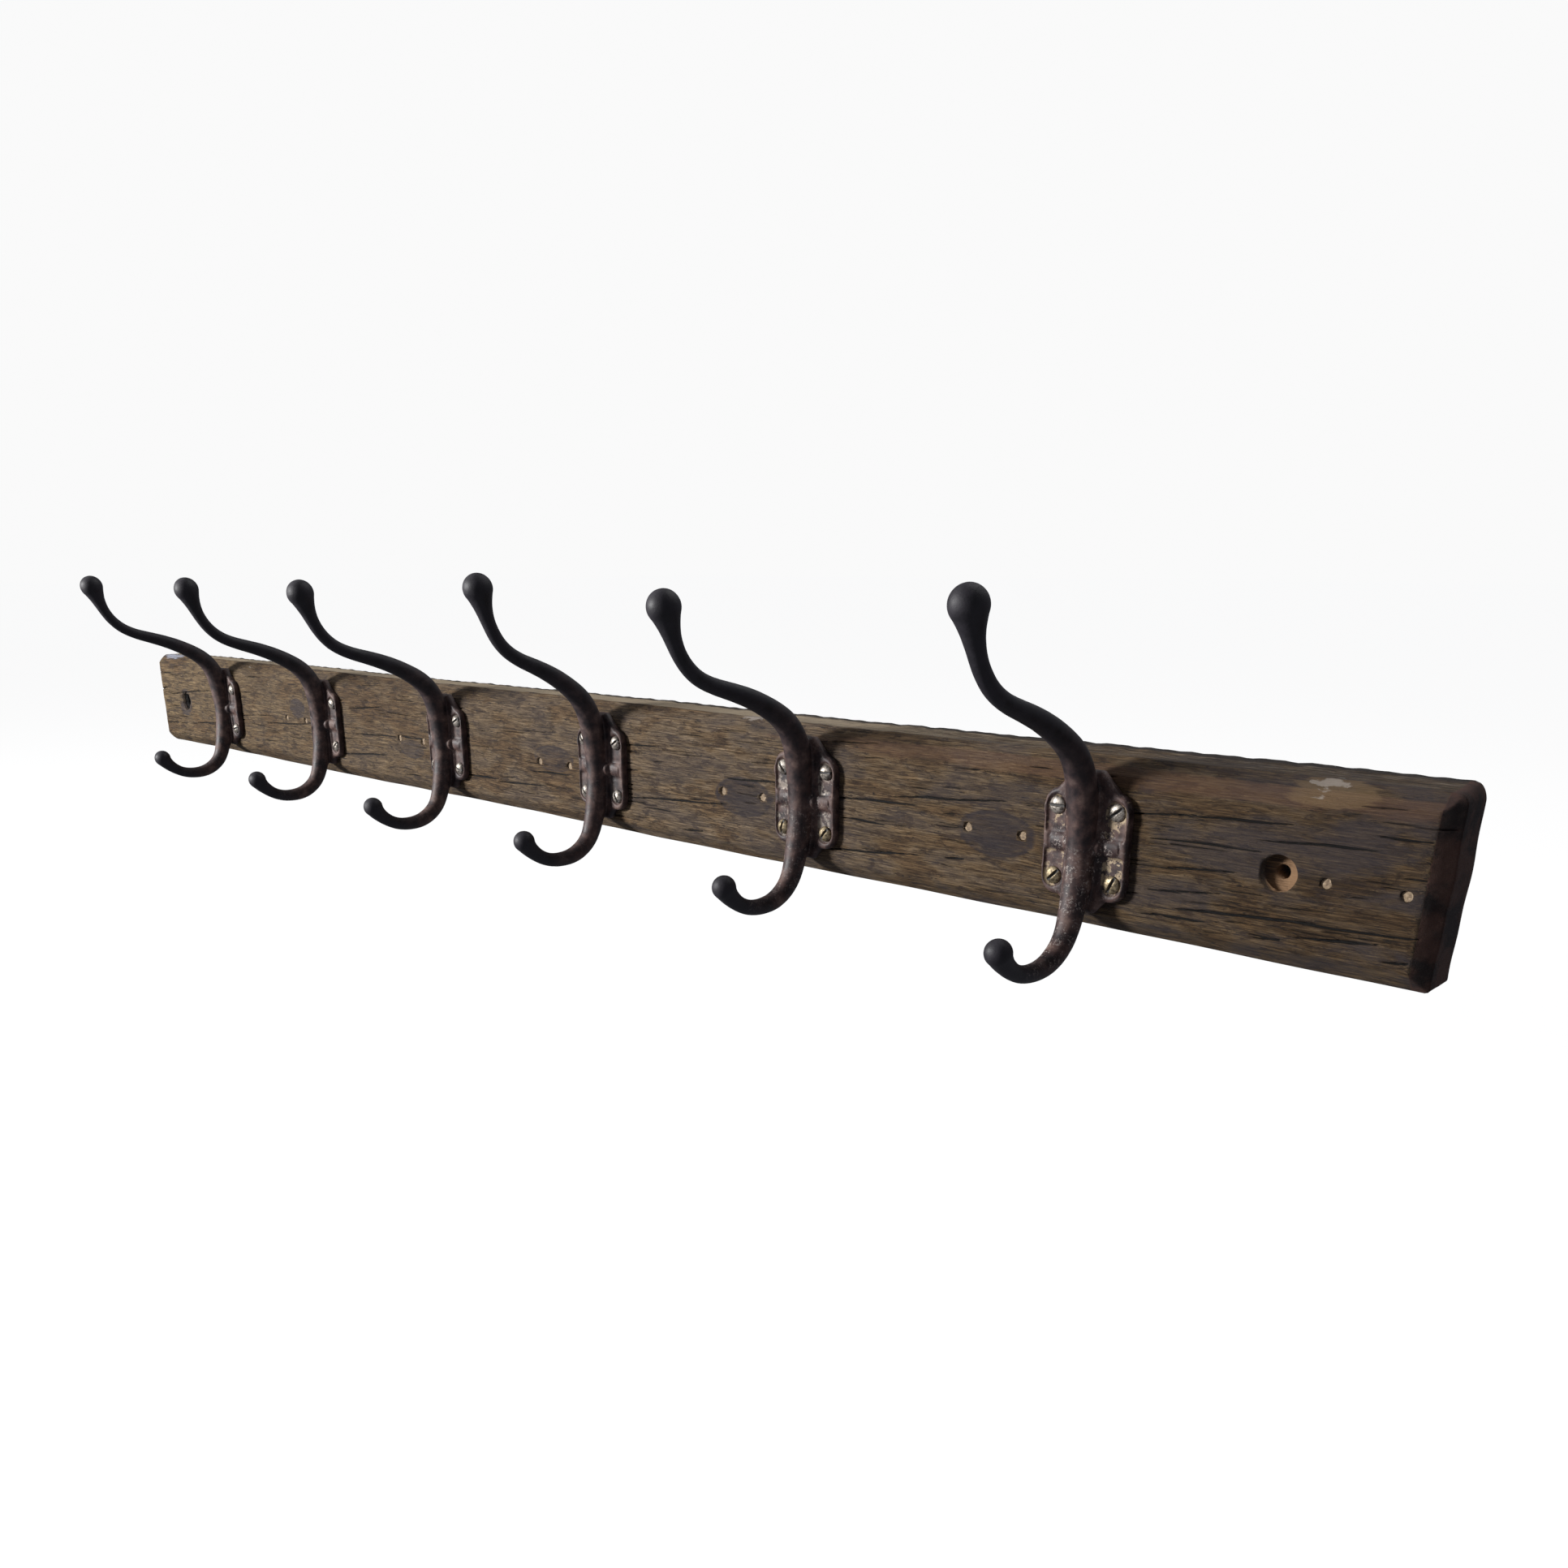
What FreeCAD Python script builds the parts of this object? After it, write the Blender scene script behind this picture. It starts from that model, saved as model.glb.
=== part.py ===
import FreeCAD, Part

import os

import Sketcher
from FreeCAD import Placement, Rotation, Vector

# Wall hook rack: a chamfered wooden board that carries a row of cast double coat hooks.
# Millimetres. +X runs along the board to the right, the front faces -Y, +Z is up.
# The origin is midway between the two wall-fixing holes, on the board's back face.

HOOK_COUNT = 6

# Sheet cells: alias, value, what it is.
SIZES = [
    ("board_length", 1012, "board, end to end"),
    ("board_height", 69, "board, bottom edge to top edge"),
    ("board_thickness", 24, "board, wall face to front face"),
    ("board_offset", 3, "board's middle, to the right of the hooks' middle"),
    ("board_end_lean", 1.5, "right end, out of square: top corner out, bottom corner in"),
    ("board_chamfer", 6.5, "bevel round the front face"),
    ("wall_hole_spacing", 905, "between the two wall-fixing holes"),
    ("wall_hole_dia", 5.2, "clearance hole for a wall screw"),
    ("wall_bore_dia", 14, "counterbore that sinks the wall screw's head"),
    ("wall_bore_depth", 6, "counterbore depth"),
    ("hook_pitch", 150, "between neighbouring hooks"),
    ("plate_width", 38, "hook's back plate"),
    ("plate_height", 43, "hook's back plate"),
    ("plate_thickness", 4, "hook's back plate"),
    ("plate_corner", 6.5, "corner radius of the plate"),
    ("neck_top_reach", 29.5, "top of the plate's neck above the plate's middle"),
    ("neck_top_spread", 27, "width of the top neck where it leaves the plate"),
    ("neck_low_reach", 27, "end of the lower neck below the plate's middle"),
    ("neck_low_spread", 21, "width of the lower neck where it leaves the plate"),
    ("neck_tip", 11.6, "width of both necks at their tips"),
    ("field_width", 8.8, "sunk field round each screw, and its outer end's diameter"),
    ("field_depth", 1.2, "sunk field round each screw"),
    ("field_start", 3.4, "inner end of the fields, above and below the plate's middle"),
    ("rib_root_dia", 9.4, "cross rib at the stem"),
    ("rib_tip_dia", 5.4, "cross rib at its outer end"),
    ("rib_length", 15.5, "cross rib, from the hook's middle"),
    ("rib_depth", 3.0, "cross rib's axis in front of the board"),
    ("upper_ball_dia", 14.6, "knob of the upper arm"),
    ("lower_ball_dia", 11.2, "knob of the lower arm"),
    ("screw_across", 26.6, "between the left and right screws of a hook"),
    ("screw_up", 28.4, "between the upper and lower screws of a hook"),
    ("screw_hole_dia", 4.3, "clearance hole in the plate"),
    ("pilot_dia", 3.7, "pilot hole in the board"),
    ("pilot_depth", 17, "pilot hole in the board"),
    ("shank_dia", 3.5, "screw shank"),
    ("shank_length", 18, "screw, under the head"),
    ("shank_tip", 4, "length of the screw's point"),
    ("head_dia", 7.3, "round screw head"),
    ("head_height", 2.4, "round screw head"),
    ("slot_width", 0.9, "screwdriver slot"),
    ("slot_depth", 1.1, "screwdriver slot"),
    ("old_spacing", 27.4, "between the two holes of a pair"),
    ("old_hole_dia", 4.2, "filled hole"),
    ("old_hole_depth", 12, "filled hole"),
    ("plug_dia", 4.0, "wooden plug"),
    ("plug_sink", 0.8, "plug's face, behind the board's face"),
]

# The hook's middle line, from the lower knob up to the upper one: distance out from the
# board's face, height from the plate's middle, thickness of the round bar there.
BAR = [
    ("bar_low_ball", 56.0, -32.7, 11.2),
    ("bar_low_throat", 50.4, -39.3, 8.0),
    ("bar_low_tip", 45.0, -42.9, 7.2),
    ("bar_low_rise", 38.5, -45.1, 7.3),
    ("bar_low_bottom", 31.5, -45.6, 7.8),
    ("bar_low_bend", 24.6, -44.5, 8.4),
    ("bar_low_turn", 18.5, -41.5, 8.9),
    ("bar_low_drop", 13.7, -36.8, 9.3),
    ("bar_low_root", 10.0, -28.5, 10.2),
    ("bar_low_stem", 7.0, -16.0, 11.4),
    ("bar_middle", 5.6, 0.0, 11.7),
    ("bar_top_stem", 6.8, 16.0, 12.4),
    ("bar_top_root", 9.8, 28.0, 12.0),
    ("bar_top_turn", 15.5, 36.3, 11.1),
    ("bar_top_bend", 24.0, 42.4, 10.0),
    ("bar_top_run", 36.0, 48.2, 9.0),
    ("bar_top_reach", 50.0, 53.0, 7.9),
    ("bar_top_dip", 62.0, 56.7, 7.1),
    ("bar_top_rise", 71.2, 61.3, 6.8),
    ("bar_top_climb", 78.0, 67.9, 6.7),
    ("bar_top_throat", 82.6, 76.0, 7.5),
    ("bar_top_flare", 85.0, 82.4, 10.2),
    ("bar_top_ball", 87.3, 89.3, 14.6),
]

# How each old casting differs: the upper arm's reach and lift, the lower arm's reach.
UPPER_REACH = [1.0, 0.98, 1.005, 0.825, 1.0, 0.99]
UPPER_LIFT = [0.0, 0.0, 0.0, 4.2, -0.8, 3.0]
LOWER_REACH = [1.0, 0.99, 1.01, 1.0, 1.0, 1.06]

# Slot directions of each hook's screws, in degrees from level: upper left, upper right,
# lower left, lower right.
SLOTS = [
    (20, -35, 70, 15),
    (60, -20, 5, 48),
    (-50, 30, 85, -15),
    (-48, 35, -42, -62),
    (-50, 2, 80, 52),
    (0, 38, 46, 66),
]

# Whether a hook's two lower screws are brass.
BRASS_BELOW = [False, False, False, False, True, True]

# Pairs of filled holes from an older row of hooks: the pair's middle to the right of the
# hooks' middle, and its drop below the board's middle line.
OLD_PAIRS = [
    (-271.5, 0.8),
    (-120.3, 2.4),
    (29.5, 2.6),
    (180.5, 2.7),
    (330.0, 1.1),
    (483.5, 1.0),
]

doc = FreeCAD.newDocument("WallHookRack")
sheet = doc.addObject("Spreadsheet::Sheet", "Sheet")


def fill_sheet():
    """Writes every driving size into the sheet, one row each, with its alias."""
    rows = list(SIZES)
    for name, out, up, dia in BAR:
        rows.append((name + "_out", out, "bar station, out from the board"))
        rows.append((name + "_up", up, "bar station, above the plate's middle"))
        rows.append((name + "_dia", dia, "bar station, thickness"))
    for number in range(HOOK_COUNT):
        rows.append((f"hook_{number + 1}_reach", UPPER_REACH[number], "upper arm's reach"))
        rows.append((f"hook_{number + 1}_lift", UPPER_LIFT[number], "upper arm's lift"))
        rows.append((f"hook_{number + 1}_low", LOWER_REACH[number], "lower arm's reach"))
    for pair, (middle, drop) in enumerate(OLD_PAIRS, start=1):
        rows.append((f"old_pair_{pair}_x", middle, "filled pair, along the board"))
        rows.append((f"old_pair_{pair}_drop", drop, "filled pair, below the middle line"))
    for line, (alias, value, note) in enumerate(rows, start=1):
        sheet.set(f"A{line}", note)
        sheet.set(f"B{line}", str(value))
        sheet.setAlias(f"B{line}", alias)
    doc.recompute()


def size(alias):
    return float(sheet.get(alias))


def bind(obj, **formulas):
    """Binds properties to the sheet. A double underscore in a name stands for a dot."""
    for name, formula in formulas.items():
        obj.setExpression(name.replace("__", "."), formula)
    return obj


def new_body(name):
    return doc.addObject("PartDesign::Body", name)


def front_sketch(body, name, depth_formula="0"):
    """A sketch on the body's XZ plane, moved forwards (-Y) by the formula's distance."""
    sketch = body.newObject("Sketcher::SketchObject", name)
    plane = next(f for f in body.Origin.OriginFeatures if f.Role == "XZ_Plane")
    sketch.AttachmentSupport = [(plane, "")]
    sketch.MapMode = "FlatFace"
    sketch.setExpression("AttachmentOffset.Base.z", depth_formula)
    return sketch


def distance(sketch, kind, first, second, formula):
    """A length constraint from one point to another, bound to the sheet."""
    index = sketch.addConstraint(Sketcher.Constraint(kind, *first, *second, 1.0))
    sketch.setExpression(f"Constraints[{index}]", formula)


def place_point(sketch, point, side_x, x_formula, side_y, y_formula):
    """Fixes a point at a distance from the sketch's origin. A side is 1, -1 or 0."""
    origin = (-1, 1)
    for kind, side, formula in (
        ("DistanceX", side_x, x_formula),
        ("DistanceY", side_y, y_formula),
    ):
        if side == 0:
            axis = -2 if kind == "DistanceX" else -1
            sketch.addConstraint(Sketcher.Constraint("PointOnObject", *point, axis))
        elif side > 0:
            distance(sketch, kind, origin, point, formula)
        else:
            distance(sketch, kind, point, origin, formula)


def add_circle(sketch, side_x, x_formula, side_y, y_formula, dia_formula, near):
    """A circle whose middle and diameter follow the sheet; near is where it is drawn."""
    index = sketch.addGeometry(Part.Circle(Vector(*near, 0), Vector(0, 0, 1), 1.0), False)
    place_point(sketch, (index, 3), side_x, x_formula, side_y, y_formula)
    dia = sketch.addConstraint(Sketcher.Constraint("Diameter", index, 2.0))
    sketch.setExpression(f"Constraints[{dia}]", dia_formula)


def add_polygon(sketch, corners):
    """A closed outline. Each corner is side_x, x formula, side_y, y formula."""
    count = len(corners)
    spots = [
        Vector(sx * sheet.evalExpression(fx), sy * sheet.evalExpression(fy), 0)
        for sx, fx, sy, fy in corners
    ]
    first = sketch.GeometryCount
    for i in range(count):
        sketch.addGeometry(Part.LineSegment(spots[i], spots[(i + 1) % count]), False)
    for i in range(count):
        follower = first + (i + 1) % count
        sketch.addConstraint(Sketcher.Constraint("Coincident", first + i, 2, follower, 1))
    for i, (sx, fx, sy, fy) in enumerate(corners):
        place_point(sketch, (first + i, 1), sx, fx, sy, fy)


def add_rectangle(sketch, left, right, low, high):
    """An upright rectangle. Each side of it is given as a sign and a formula."""
    corners = [left + low, right + low, right + high, left + high]
    add_polygon(sketch, corners)


def pad(body, sketch, name, length_formula):
    feature = body.newObject("PartDesign::Pad", name)
    feature.Profile = sketch
    bind(feature, Length=length_formula)
    doc.recompute()
    return feature


def pocket(body, sketch, name, length_formula):
    """Cuts backwards (+Y) from a front sketch, and makes sure that it cut something."""
    before = body.Shape.Volume
    feature = body.newObject("PartDesign::Pocket", name)
    feature.Profile = sketch
    bind(feature, Length=length_formula)
    doc.recompute()
    if body.Shape.Volume >= before:
        raise RuntimeError(name + " removed nothing")
    return feature


def front_edges(shape, depth):
    """Names of the straight edges that lie on the plane y = -depth."""
    names = []
    for index, edge in enumerate(shape.Edges, start=1):
        if all(abs(v.Point.y + depth) < 1e-6 for v in edge.Vertexes):
            names.append(f"Edge{index}")
    return names


def hook_x(number):
    """Formula for a hook's place along the board. Hooks are numbered from 1."""
    return f"{number - (HOOK_COUNT + 1) / 2} * Sheet.hook_pitch"


def front_circles(sketch, spots, dia_formula):
    """One circle for each spot. A spot is an x formula and a z formula, of either sign."""
    for x_formula, z_formula in spots:
        x, z = sheet.evalExpression(x_formula), sheet.evalExpression(z_formula)
        side_x, side_z = (1 if x > 0 else -1), (1 if z > 0 else -1)
        add_circle(
            sketch,
            side_x,
            f"{side_x} * ({x_formula})",
            side_z,
            f"{side_z} * ({z_formula})",
            dia_formula,
            (x, z),
        )


def make_board():
    """The board: bevelled front, two counterbored wall holes, pilot and old screw holes."""
    body = new_body("BoardBody")
    body.Label = "board"
    outline = front_sketch(body, "BoardOutline")
    half = "Sheet.board_height / 2"
    left = "Sheet.board_length / 2 - Sheet.board_offset"
    right = "Sheet.board_length / 2 + Sheet.board_offset"
    add_polygon(
        outline,
        [
            (-1, left, -1, half),
            (1, right + " - Sheet.board_end_lean", -1, half),
            (1, right + " + Sheet.board_end_lean", 1, half),
            (-1, left, 1, half),
        ],
    )
    base = pad(body, outline, "BoardPad", "Sheet.board_thickness")

    bevel = body.newObject("PartDesign::Chamfer", "BoardBevel")
    bevel.Base = (base, front_edges(base.Shape, size("board_thickness")))
    bind(bevel, Size="Sheet.board_chamfer")
    doc.recompute()

    holes = front_sketch(body, "WallHoles", "Sheet.board_thickness")
    sinks = front_sketch(body, "WallBores", "Sheet.board_thickness")
    reach = "Sheet.wall_hole_spacing / 2"
    for side in (-1, 1):
        near = (side * size("wall_hole_spacing") / 2, 0)
        add_circle(holes, side, reach, 0, "", "Sheet.wall_hole_dia", near)
        add_circle(sinks, side, reach, 0, "", "Sheet.wall_bore_dia", near)
    pocket(body, holes, "WallHoleCut", "Sheet.board_thickness")
    pocket(body, sinks, "WallBoreCut", "Sheet.wall_bore_depth")

    pilots = front_sketch(body, "PilotHoles", "Sheet.board_thickness")
    spots = [
        (f"{hook_x(number)} + {across} * Sheet.screw_across / 2", f"{up} * Sheet.screw_up / 2")
        for number in range(1, HOOK_COUNT + 1)
        for across in (-1, 1)
        for up in (-1, 1)
    ]
    front_circles(pilots, spots, "Sheet.pilot_dia")
    pocket(body, pilots, "PilotCut", "Sheet.pilot_depth")

    olds = front_sketch(body, "OldHoles", "Sheet.board_thickness")
    spots = [
        (f"Sheet.old_pair_{pair}_x + {across} * Sheet.old_spacing / 2", f"-Sheet.old_pair_{pair}_drop")
        for pair in range(1, len(OLD_PAIRS) + 1)
        for across in (-1, 1)
    ]
    front_circles(olds, spots, "Sheet.old_hole_dia")
    pocket(body, olds, "OldHoleCut", "Sheet.old_hole_depth")
    return body


def make_plate():
    """The back plate all hooks share, its back at y = 0: necks, sunk fields and holes."""
    body = new_body("PlateBody")
    outline = front_sketch(body, "PlateOutline")
    half_w, half_h = "Sheet.plate_width / 2", "Sheet.plate_height / 2"
    add_rectangle(outline, (-1, half_w), (1, half_w), (-1, half_h), (1, half_h))
    base = pad(body, outline, "PlatePad", "Sheet.plate_thickness")
    corners = body.newObject("PartDesign::Fillet", "PlateCorners")
    upright = []
    for index, edge in enumerate(base.Shape.Edges, start=1):
        if abs(edge.Vertexes[0].Point.y - edge.Vertexes[-1].Point.y) > 1:
            upright.append(f"Edge{index}")
    corners.Base = (base, upright)
    bind(corners, Radius="Sheet.plate_corner")
    doc.recompute()

    for name, side, spread, reach in (
        ("TopNeck", 1, "Sheet.neck_top_spread / 2", "Sheet.neck_top_reach"),
        ("LowNeck", -1, "Sheet.neck_low_spread / 2", "Sheet.neck_low_reach"),
    ):
        neck = front_sketch(body, name)
        add_polygon(
            neck,
            [
                (-1, spread, side, half_h),
                (-1, "Sheet.neck_tip / 2", side, reach),
                (1, "Sheet.neck_tip / 2", side, reach),
                (1, spread, side, half_h),
                (1, spread, side, "Sheet.plate_height / 4"),
                (-1, spread, side, "Sheet.plate_height / 4"),
            ],
        )
        pad(body, neck, name + "Pad", "Sheet.plate_thickness")

    fields = front_sketch(body, "ScrewFields", "Sheet.plate_thickness")
    ends = front_sketch(body, "ScrewFieldEnds", "Sheet.plate_thickness")
    holes = front_sketch(body, "ScrewHoles", "Sheet.plate_thickness")
    across, up = "Sheet.screw_across / 2", "Sheet.screw_up / 2"
    for side_x in (-1, 1):
        for side_y in (-1, 1):
            near = (side_x * size("screw_across") / 2, side_y * size("screw_up") / 2)
            add_rectangle(
                fields,
                (side_x, across + " - Sheet.field_width / 2"),
                (side_x, across + " + Sheet.field_width / 2"),
                (side_y, "Sheet.field_start"),
                (side_y, up),
            )
            add_circle(ends, side_x, across, side_y, up, "Sheet.field_width", near)
            add_circle(holes, side_x, across, side_y, up, "Sheet.screw_hole_dia", near)
    pocket(body, fields, "ScrewFieldCut", "Sheet.field_depth")
    pocket(body, ends, "ScrewFieldEndCut", "Sheet.field_depth")
    pocket(body, holes, "ScrewHoleCut", "Sheet.plate_thickness")
    return body


def bar_stations(number):
    """Middle points and thicknesses of one hook's bar, from the lower knob to the upper."""
    reach, lift = size(f"hook_{number}_reach"), size(f"hook_{number}_lift")
    low = size(f"hook_{number}_low")
    top_root, low_root = size("bar_top_root_out"), size("bar_low_root_out")
    full = size("bar_top_ball_out") - top_root
    stations = []
    for name, _, _, _ in BAR:
        out, up, dia = (size(f"{name}_{key}") for key in ("out", "up", "dia"))
        if up > 0 and out > top_root:
            up += lift * (out - top_root) / full
            out = top_root + (out - top_root) * reach
        if up < 0 and out > low_root:
            out = low_root + (out - low_root) * low
        stations.append((Vector(0, -out, up), dia))
    return stations


def make_bar(number):
    """One hook's bar: a loft through round sections square to its middle line."""
    stations = bar_stations(number)
    spine = Part.BSplineCurve()
    spine.interpolate([point for point, _ in stations])
    sections = []
    for i, (point, dia) in enumerate(stations):
        along = spine.tangent(spine.parameter(point))[0]
        section = doc.addObject("Part::Circle", f"Hook{number}Section{i + 1}")
        turn = Rotation(Vector(0, 0, 1), along)
        section.Placement = Placement(point, turn)
        bind(section, Radius=f"Sheet.{BAR[i][0]}_dia / 2")
        sections.append(section)
    bar = doc.addObject("Part::Loft", f"Hook{number}Bar")
    bar.Sections = sections
    bar.Solid = True
    bar.Ruled = False
    knobs = []
    for key, (point, _) in (("lower", stations[0]), ("upper", stations[-1])):
        knob = doc.addObject("Part::Sphere", f"Hook{number}{key.capitalize()}Knob")
        bind(knob, Radius=f"Sheet.{key}_ball_dia / 2")
        knob.Placement = Placement(point, Rotation())
        knobs.append(knob)
    return [bar] + knobs


def make_ribs():
    """The cross rib: two cones lying on the plate, from the stem out to each side."""
    ribs = []
    for name, turn in (("RightRib", 90), ("LeftRib", -90)):
        rib = doc.addObject("Part::Cone", name)
        rib.Placement = Placement(Vector(0, 0, 0), Rotation(Vector(0, 1, 0), turn))
        bind(
            rib,
            Radius1="Sheet.rib_root_dia / 2",
            Radius2="Sheet.rib_tip_dia / 2",
            Height="Sheet.rib_length",
            Placement__Base__y="-Sheet.rib_depth",
        )
        ribs.append(rib)
    return ribs


def make_wall_side():
    """Everything behind the board's face, which the casting's flat back is cut to."""
    block = doc.addObject("Part::Box", "BehindFace")
    bind(
        block,
        Length="2 * Sheet.plate_width",
        Width="Sheet.plate_width",
        Height="4 * Sheet.plate_height",
        Placement__Base__x="-Sheet.plate_width",
        Placement__Base__z="-2 * Sheet.plate_height",
    )
    return block


def make_hook(number, plate, ribs, wall_side):
    """One casting: plate, cross rib, bar and knobs, cut flat at the back."""
    whole = doc.addObject("Part::MultiFuse", f"Hook{number}Whole")
    whole.Shapes = [plate] + ribs + make_bar(number)
    hook = doc.addObject("Part::Cut", f"Hook{number}")
    hook.Base = whole
    hook.Tool = wall_side
    hook.Label = f"hook_{number}"
    bind(hook, Placement__Base__x=hook_x(number), Placement__Base__y="-Sheet.board_thickness")
    return hook


def make_screw():
    """The screw all hooks use, head up on +Z: point, shank and slotted round head."""
    shank = doc.addObject("Part::Cylinder", "ScrewShank")
    bind(
        shank,
        Radius="Sheet.shank_dia / 2",
        Height="Sheet.shank_length - Sheet.shank_tip",
        Placement__Base__z="Sheet.shank_tip - Sheet.shank_length",
    )
    point = doc.addObject("Part::Cone", "ScrewPoint")
    bind(
        point,
        Radius1="0",
        Radius2="Sheet.shank_dia / 2",
        Height="Sheet.shank_tip",
        Placement__Base__z="-Sheet.shank_length",
    )
    dome = "(Sheet.head_dia ^ 2 / 4 + Sheet.head_height ^ 2) / (2 * Sheet.head_height)"
    head = doc.addObject("Part::Sphere", "ScrewHead")
    bind(
        head,
        Radius=dome,
        Angle1=f"asin(1 - Sheet.head_height / ({dome}))",
        Placement__Base__z=f"Sheet.head_height - ({dome})",
    )
    whole = doc.addObject("Part::MultiFuse", "ScrewWhole")
    whole.Shapes = [shank, point, head]
    slot = doc.addObject("Part::Box", "ScrewSlot")
    bind(
        slot,
        Length="2 * Sheet.head_dia",
        Width="Sheet.slot_width",
        Height="Sheet.slot_depth",
        Placement__Base__x="-Sheet.head_dia",
        Placement__Base__y="-Sheet.slot_width / 2",
        Placement__Base__z="Sheet.head_height - Sheet.slot_depth",
    )
    screw = doc.addObject("Part::Cut", "Screw")
    screw.Base = whole
    screw.Tool = slot
    doc.recompute()
    return screw


def make_screw_group(label, screw, hook_number, places):
    """The screws of one kind on one hook. places: side across, side up, slot angle."""
    middle = sheet.evalExpression(hook_x(hook_number))
    seat = -size("board_thickness") - size("plate_thickness") + size("field_depth")
    to_front = Rotation(Vector(1, 0, 0), 90)
    copies = []
    for across, up, angle in places:
        spot = Vector(
            middle + across * size("screw_across") / 2, seat, up * size("screw_up") / 2
        )
        copy = screw.Shape.copy()
        copy.Placement = Placement(spot, to_front * Rotation(Vector(0, 0, 1), angle))
        copies.append(copy)
    group = doc.addObject("Part::Feature", label.title().replace("_", ""))
    group.Label = label
    group.Shape = Part.makeCompound(copies)
    return group


def make_screws(screw):
    groups = []
    for number in range(1, HOOK_COUNT + 1):
        ul, ur, ll, lr = SLOTS[number - 1]
        above = [(-1, 1, ul), (1, 1, ur)]
        below = [(-1, -1, ll), (1, -1, lr)]
        if BRASS_BELOW[number - 1]:
            groups.append(make_screw_group(f"hook_{number}_steel_screws", screw, number, above))
            groups.append(make_screw_group(f"hook_{number}_brass_screws", screw, number, below))
        else:
            label = f"hook_{number}_steel_screws"
            groups.append(make_screw_group(label, screw, number, above + below))
    return groups


def make_plugs():
    """Pairs of wooden plugs in the old screw holes, each face a little below the board's."""
    pairs = []
    length = size("old_hole_depth") - size("plug_sink")
    back = size("old_hole_depth") - size("board_thickness")
    for pair in range(1, len(OLD_PAIRS) + 1):
        middle, drop = size(f"old_pair_{pair}_x"), size(f"old_pair_{pair}_drop")
        plugs = []
        for across in (-1, 1):
            spot = Vector(middle + across * size("old_spacing") / 2, back, -drop)
            plugs.append(Part.makeCylinder(size("plug_dia") / 2, length, spot, Vector(0, -1, 0)))
        feature = doc.addObject("Part::Feature", f"OldHolePlugs{pair}")
        feature.Label = f"old_hole_plugs_{pair}"
        feature.Shape = Part.makeCompound(plugs)
        pairs.append(feature)
    return pairs


def export(parts):
    """Checks every object and sub-part, then writes one file for each sub-part."""
    doc.recompute()
    for obj in doc.Objects:
        if "Invalid" in obj.State or "Error" in obj.State:
            raise RuntimeError(f"{obj.Label} failed: {obj.State}")
    os.makedirs("parts", exist_ok=True)
    for part in parts:
        shape = part.Shape
        if shape.isNull() or not shape.isValid() or not shape.Solids:
            raise RuntimeError(part.Label + " has no valid shape")
        shape.exportStep(os.path.join("parts", part.Label + ".step"))
        box = shape.BoundBox
        print(f"{part.Label}: {len(shape.Solids)} solid(s), {shape.Volume / 1000:.1f} cm3,",
              f"{box.XLength:.1f} x {box.YLength:.1f} x {box.ZLength:.1f} mm")


fill_sheet()
board = make_board()
plate = make_plate()
ribs = make_ribs()
wall_side = make_wall_side()
hooks = [make_hook(number, plate, ribs, wall_side) for number in range(1, HOOK_COUNT + 1)]
screws = make_screws(make_screw())
export([board] + hooks + screws + make_plugs())
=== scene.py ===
import math
from functools import partial

import bmesh
import bpy
import numpy as np
from bpy.props import FloatProperty, FloatVectorProperty, IntProperty, PointerProperty
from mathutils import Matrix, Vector


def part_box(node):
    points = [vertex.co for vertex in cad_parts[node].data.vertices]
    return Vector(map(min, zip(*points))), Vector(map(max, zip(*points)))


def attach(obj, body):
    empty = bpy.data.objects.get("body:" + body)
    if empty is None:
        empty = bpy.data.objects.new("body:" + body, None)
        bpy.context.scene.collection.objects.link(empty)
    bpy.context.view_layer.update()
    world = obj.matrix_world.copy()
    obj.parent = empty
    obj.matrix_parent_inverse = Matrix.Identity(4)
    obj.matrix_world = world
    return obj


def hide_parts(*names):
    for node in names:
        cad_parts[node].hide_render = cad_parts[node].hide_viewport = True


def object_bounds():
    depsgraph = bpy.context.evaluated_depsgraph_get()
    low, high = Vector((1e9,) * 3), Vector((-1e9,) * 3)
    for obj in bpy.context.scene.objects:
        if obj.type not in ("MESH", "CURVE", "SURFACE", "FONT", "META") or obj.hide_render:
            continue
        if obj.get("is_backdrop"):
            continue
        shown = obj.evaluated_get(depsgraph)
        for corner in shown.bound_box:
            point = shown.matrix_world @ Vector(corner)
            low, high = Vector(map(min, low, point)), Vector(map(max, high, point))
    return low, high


bl_info = {
    "name": "Wall hook rack",
    "version": (1, 0, 0),
    "blender": (4, 5, 0),
    "location": "View3D > Sidebar > Hook rack",
    "description": "Builds an old wooden board with a row of cast iron double coat hooks",
    "category": "Object",
}

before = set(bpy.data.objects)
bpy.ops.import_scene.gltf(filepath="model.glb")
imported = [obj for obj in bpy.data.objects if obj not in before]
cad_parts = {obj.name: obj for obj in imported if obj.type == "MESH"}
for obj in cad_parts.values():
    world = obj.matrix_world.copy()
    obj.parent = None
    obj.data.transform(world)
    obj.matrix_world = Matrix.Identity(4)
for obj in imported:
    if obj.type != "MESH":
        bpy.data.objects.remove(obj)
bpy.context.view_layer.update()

# Metres, in the part's own frame: +X along the board, the front faces -Y, +Z is up. The
# numbers that follow are millimetres, unless they say otherwise.
MM = 0.001

# How far the board's face, a plate's face and the screws' seats stand off the wall.
BOARD_FACE = 24.0
PLATE_FACE = 28.0
SCREW_SEAT = 26.8
# The hooks' middles, and their screws from there.
HOOK_X = [-375, -225, -75, 75, 225, 375]
SCREW_ACROSS = 13.3
SCREW_UP = 14.2
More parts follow.
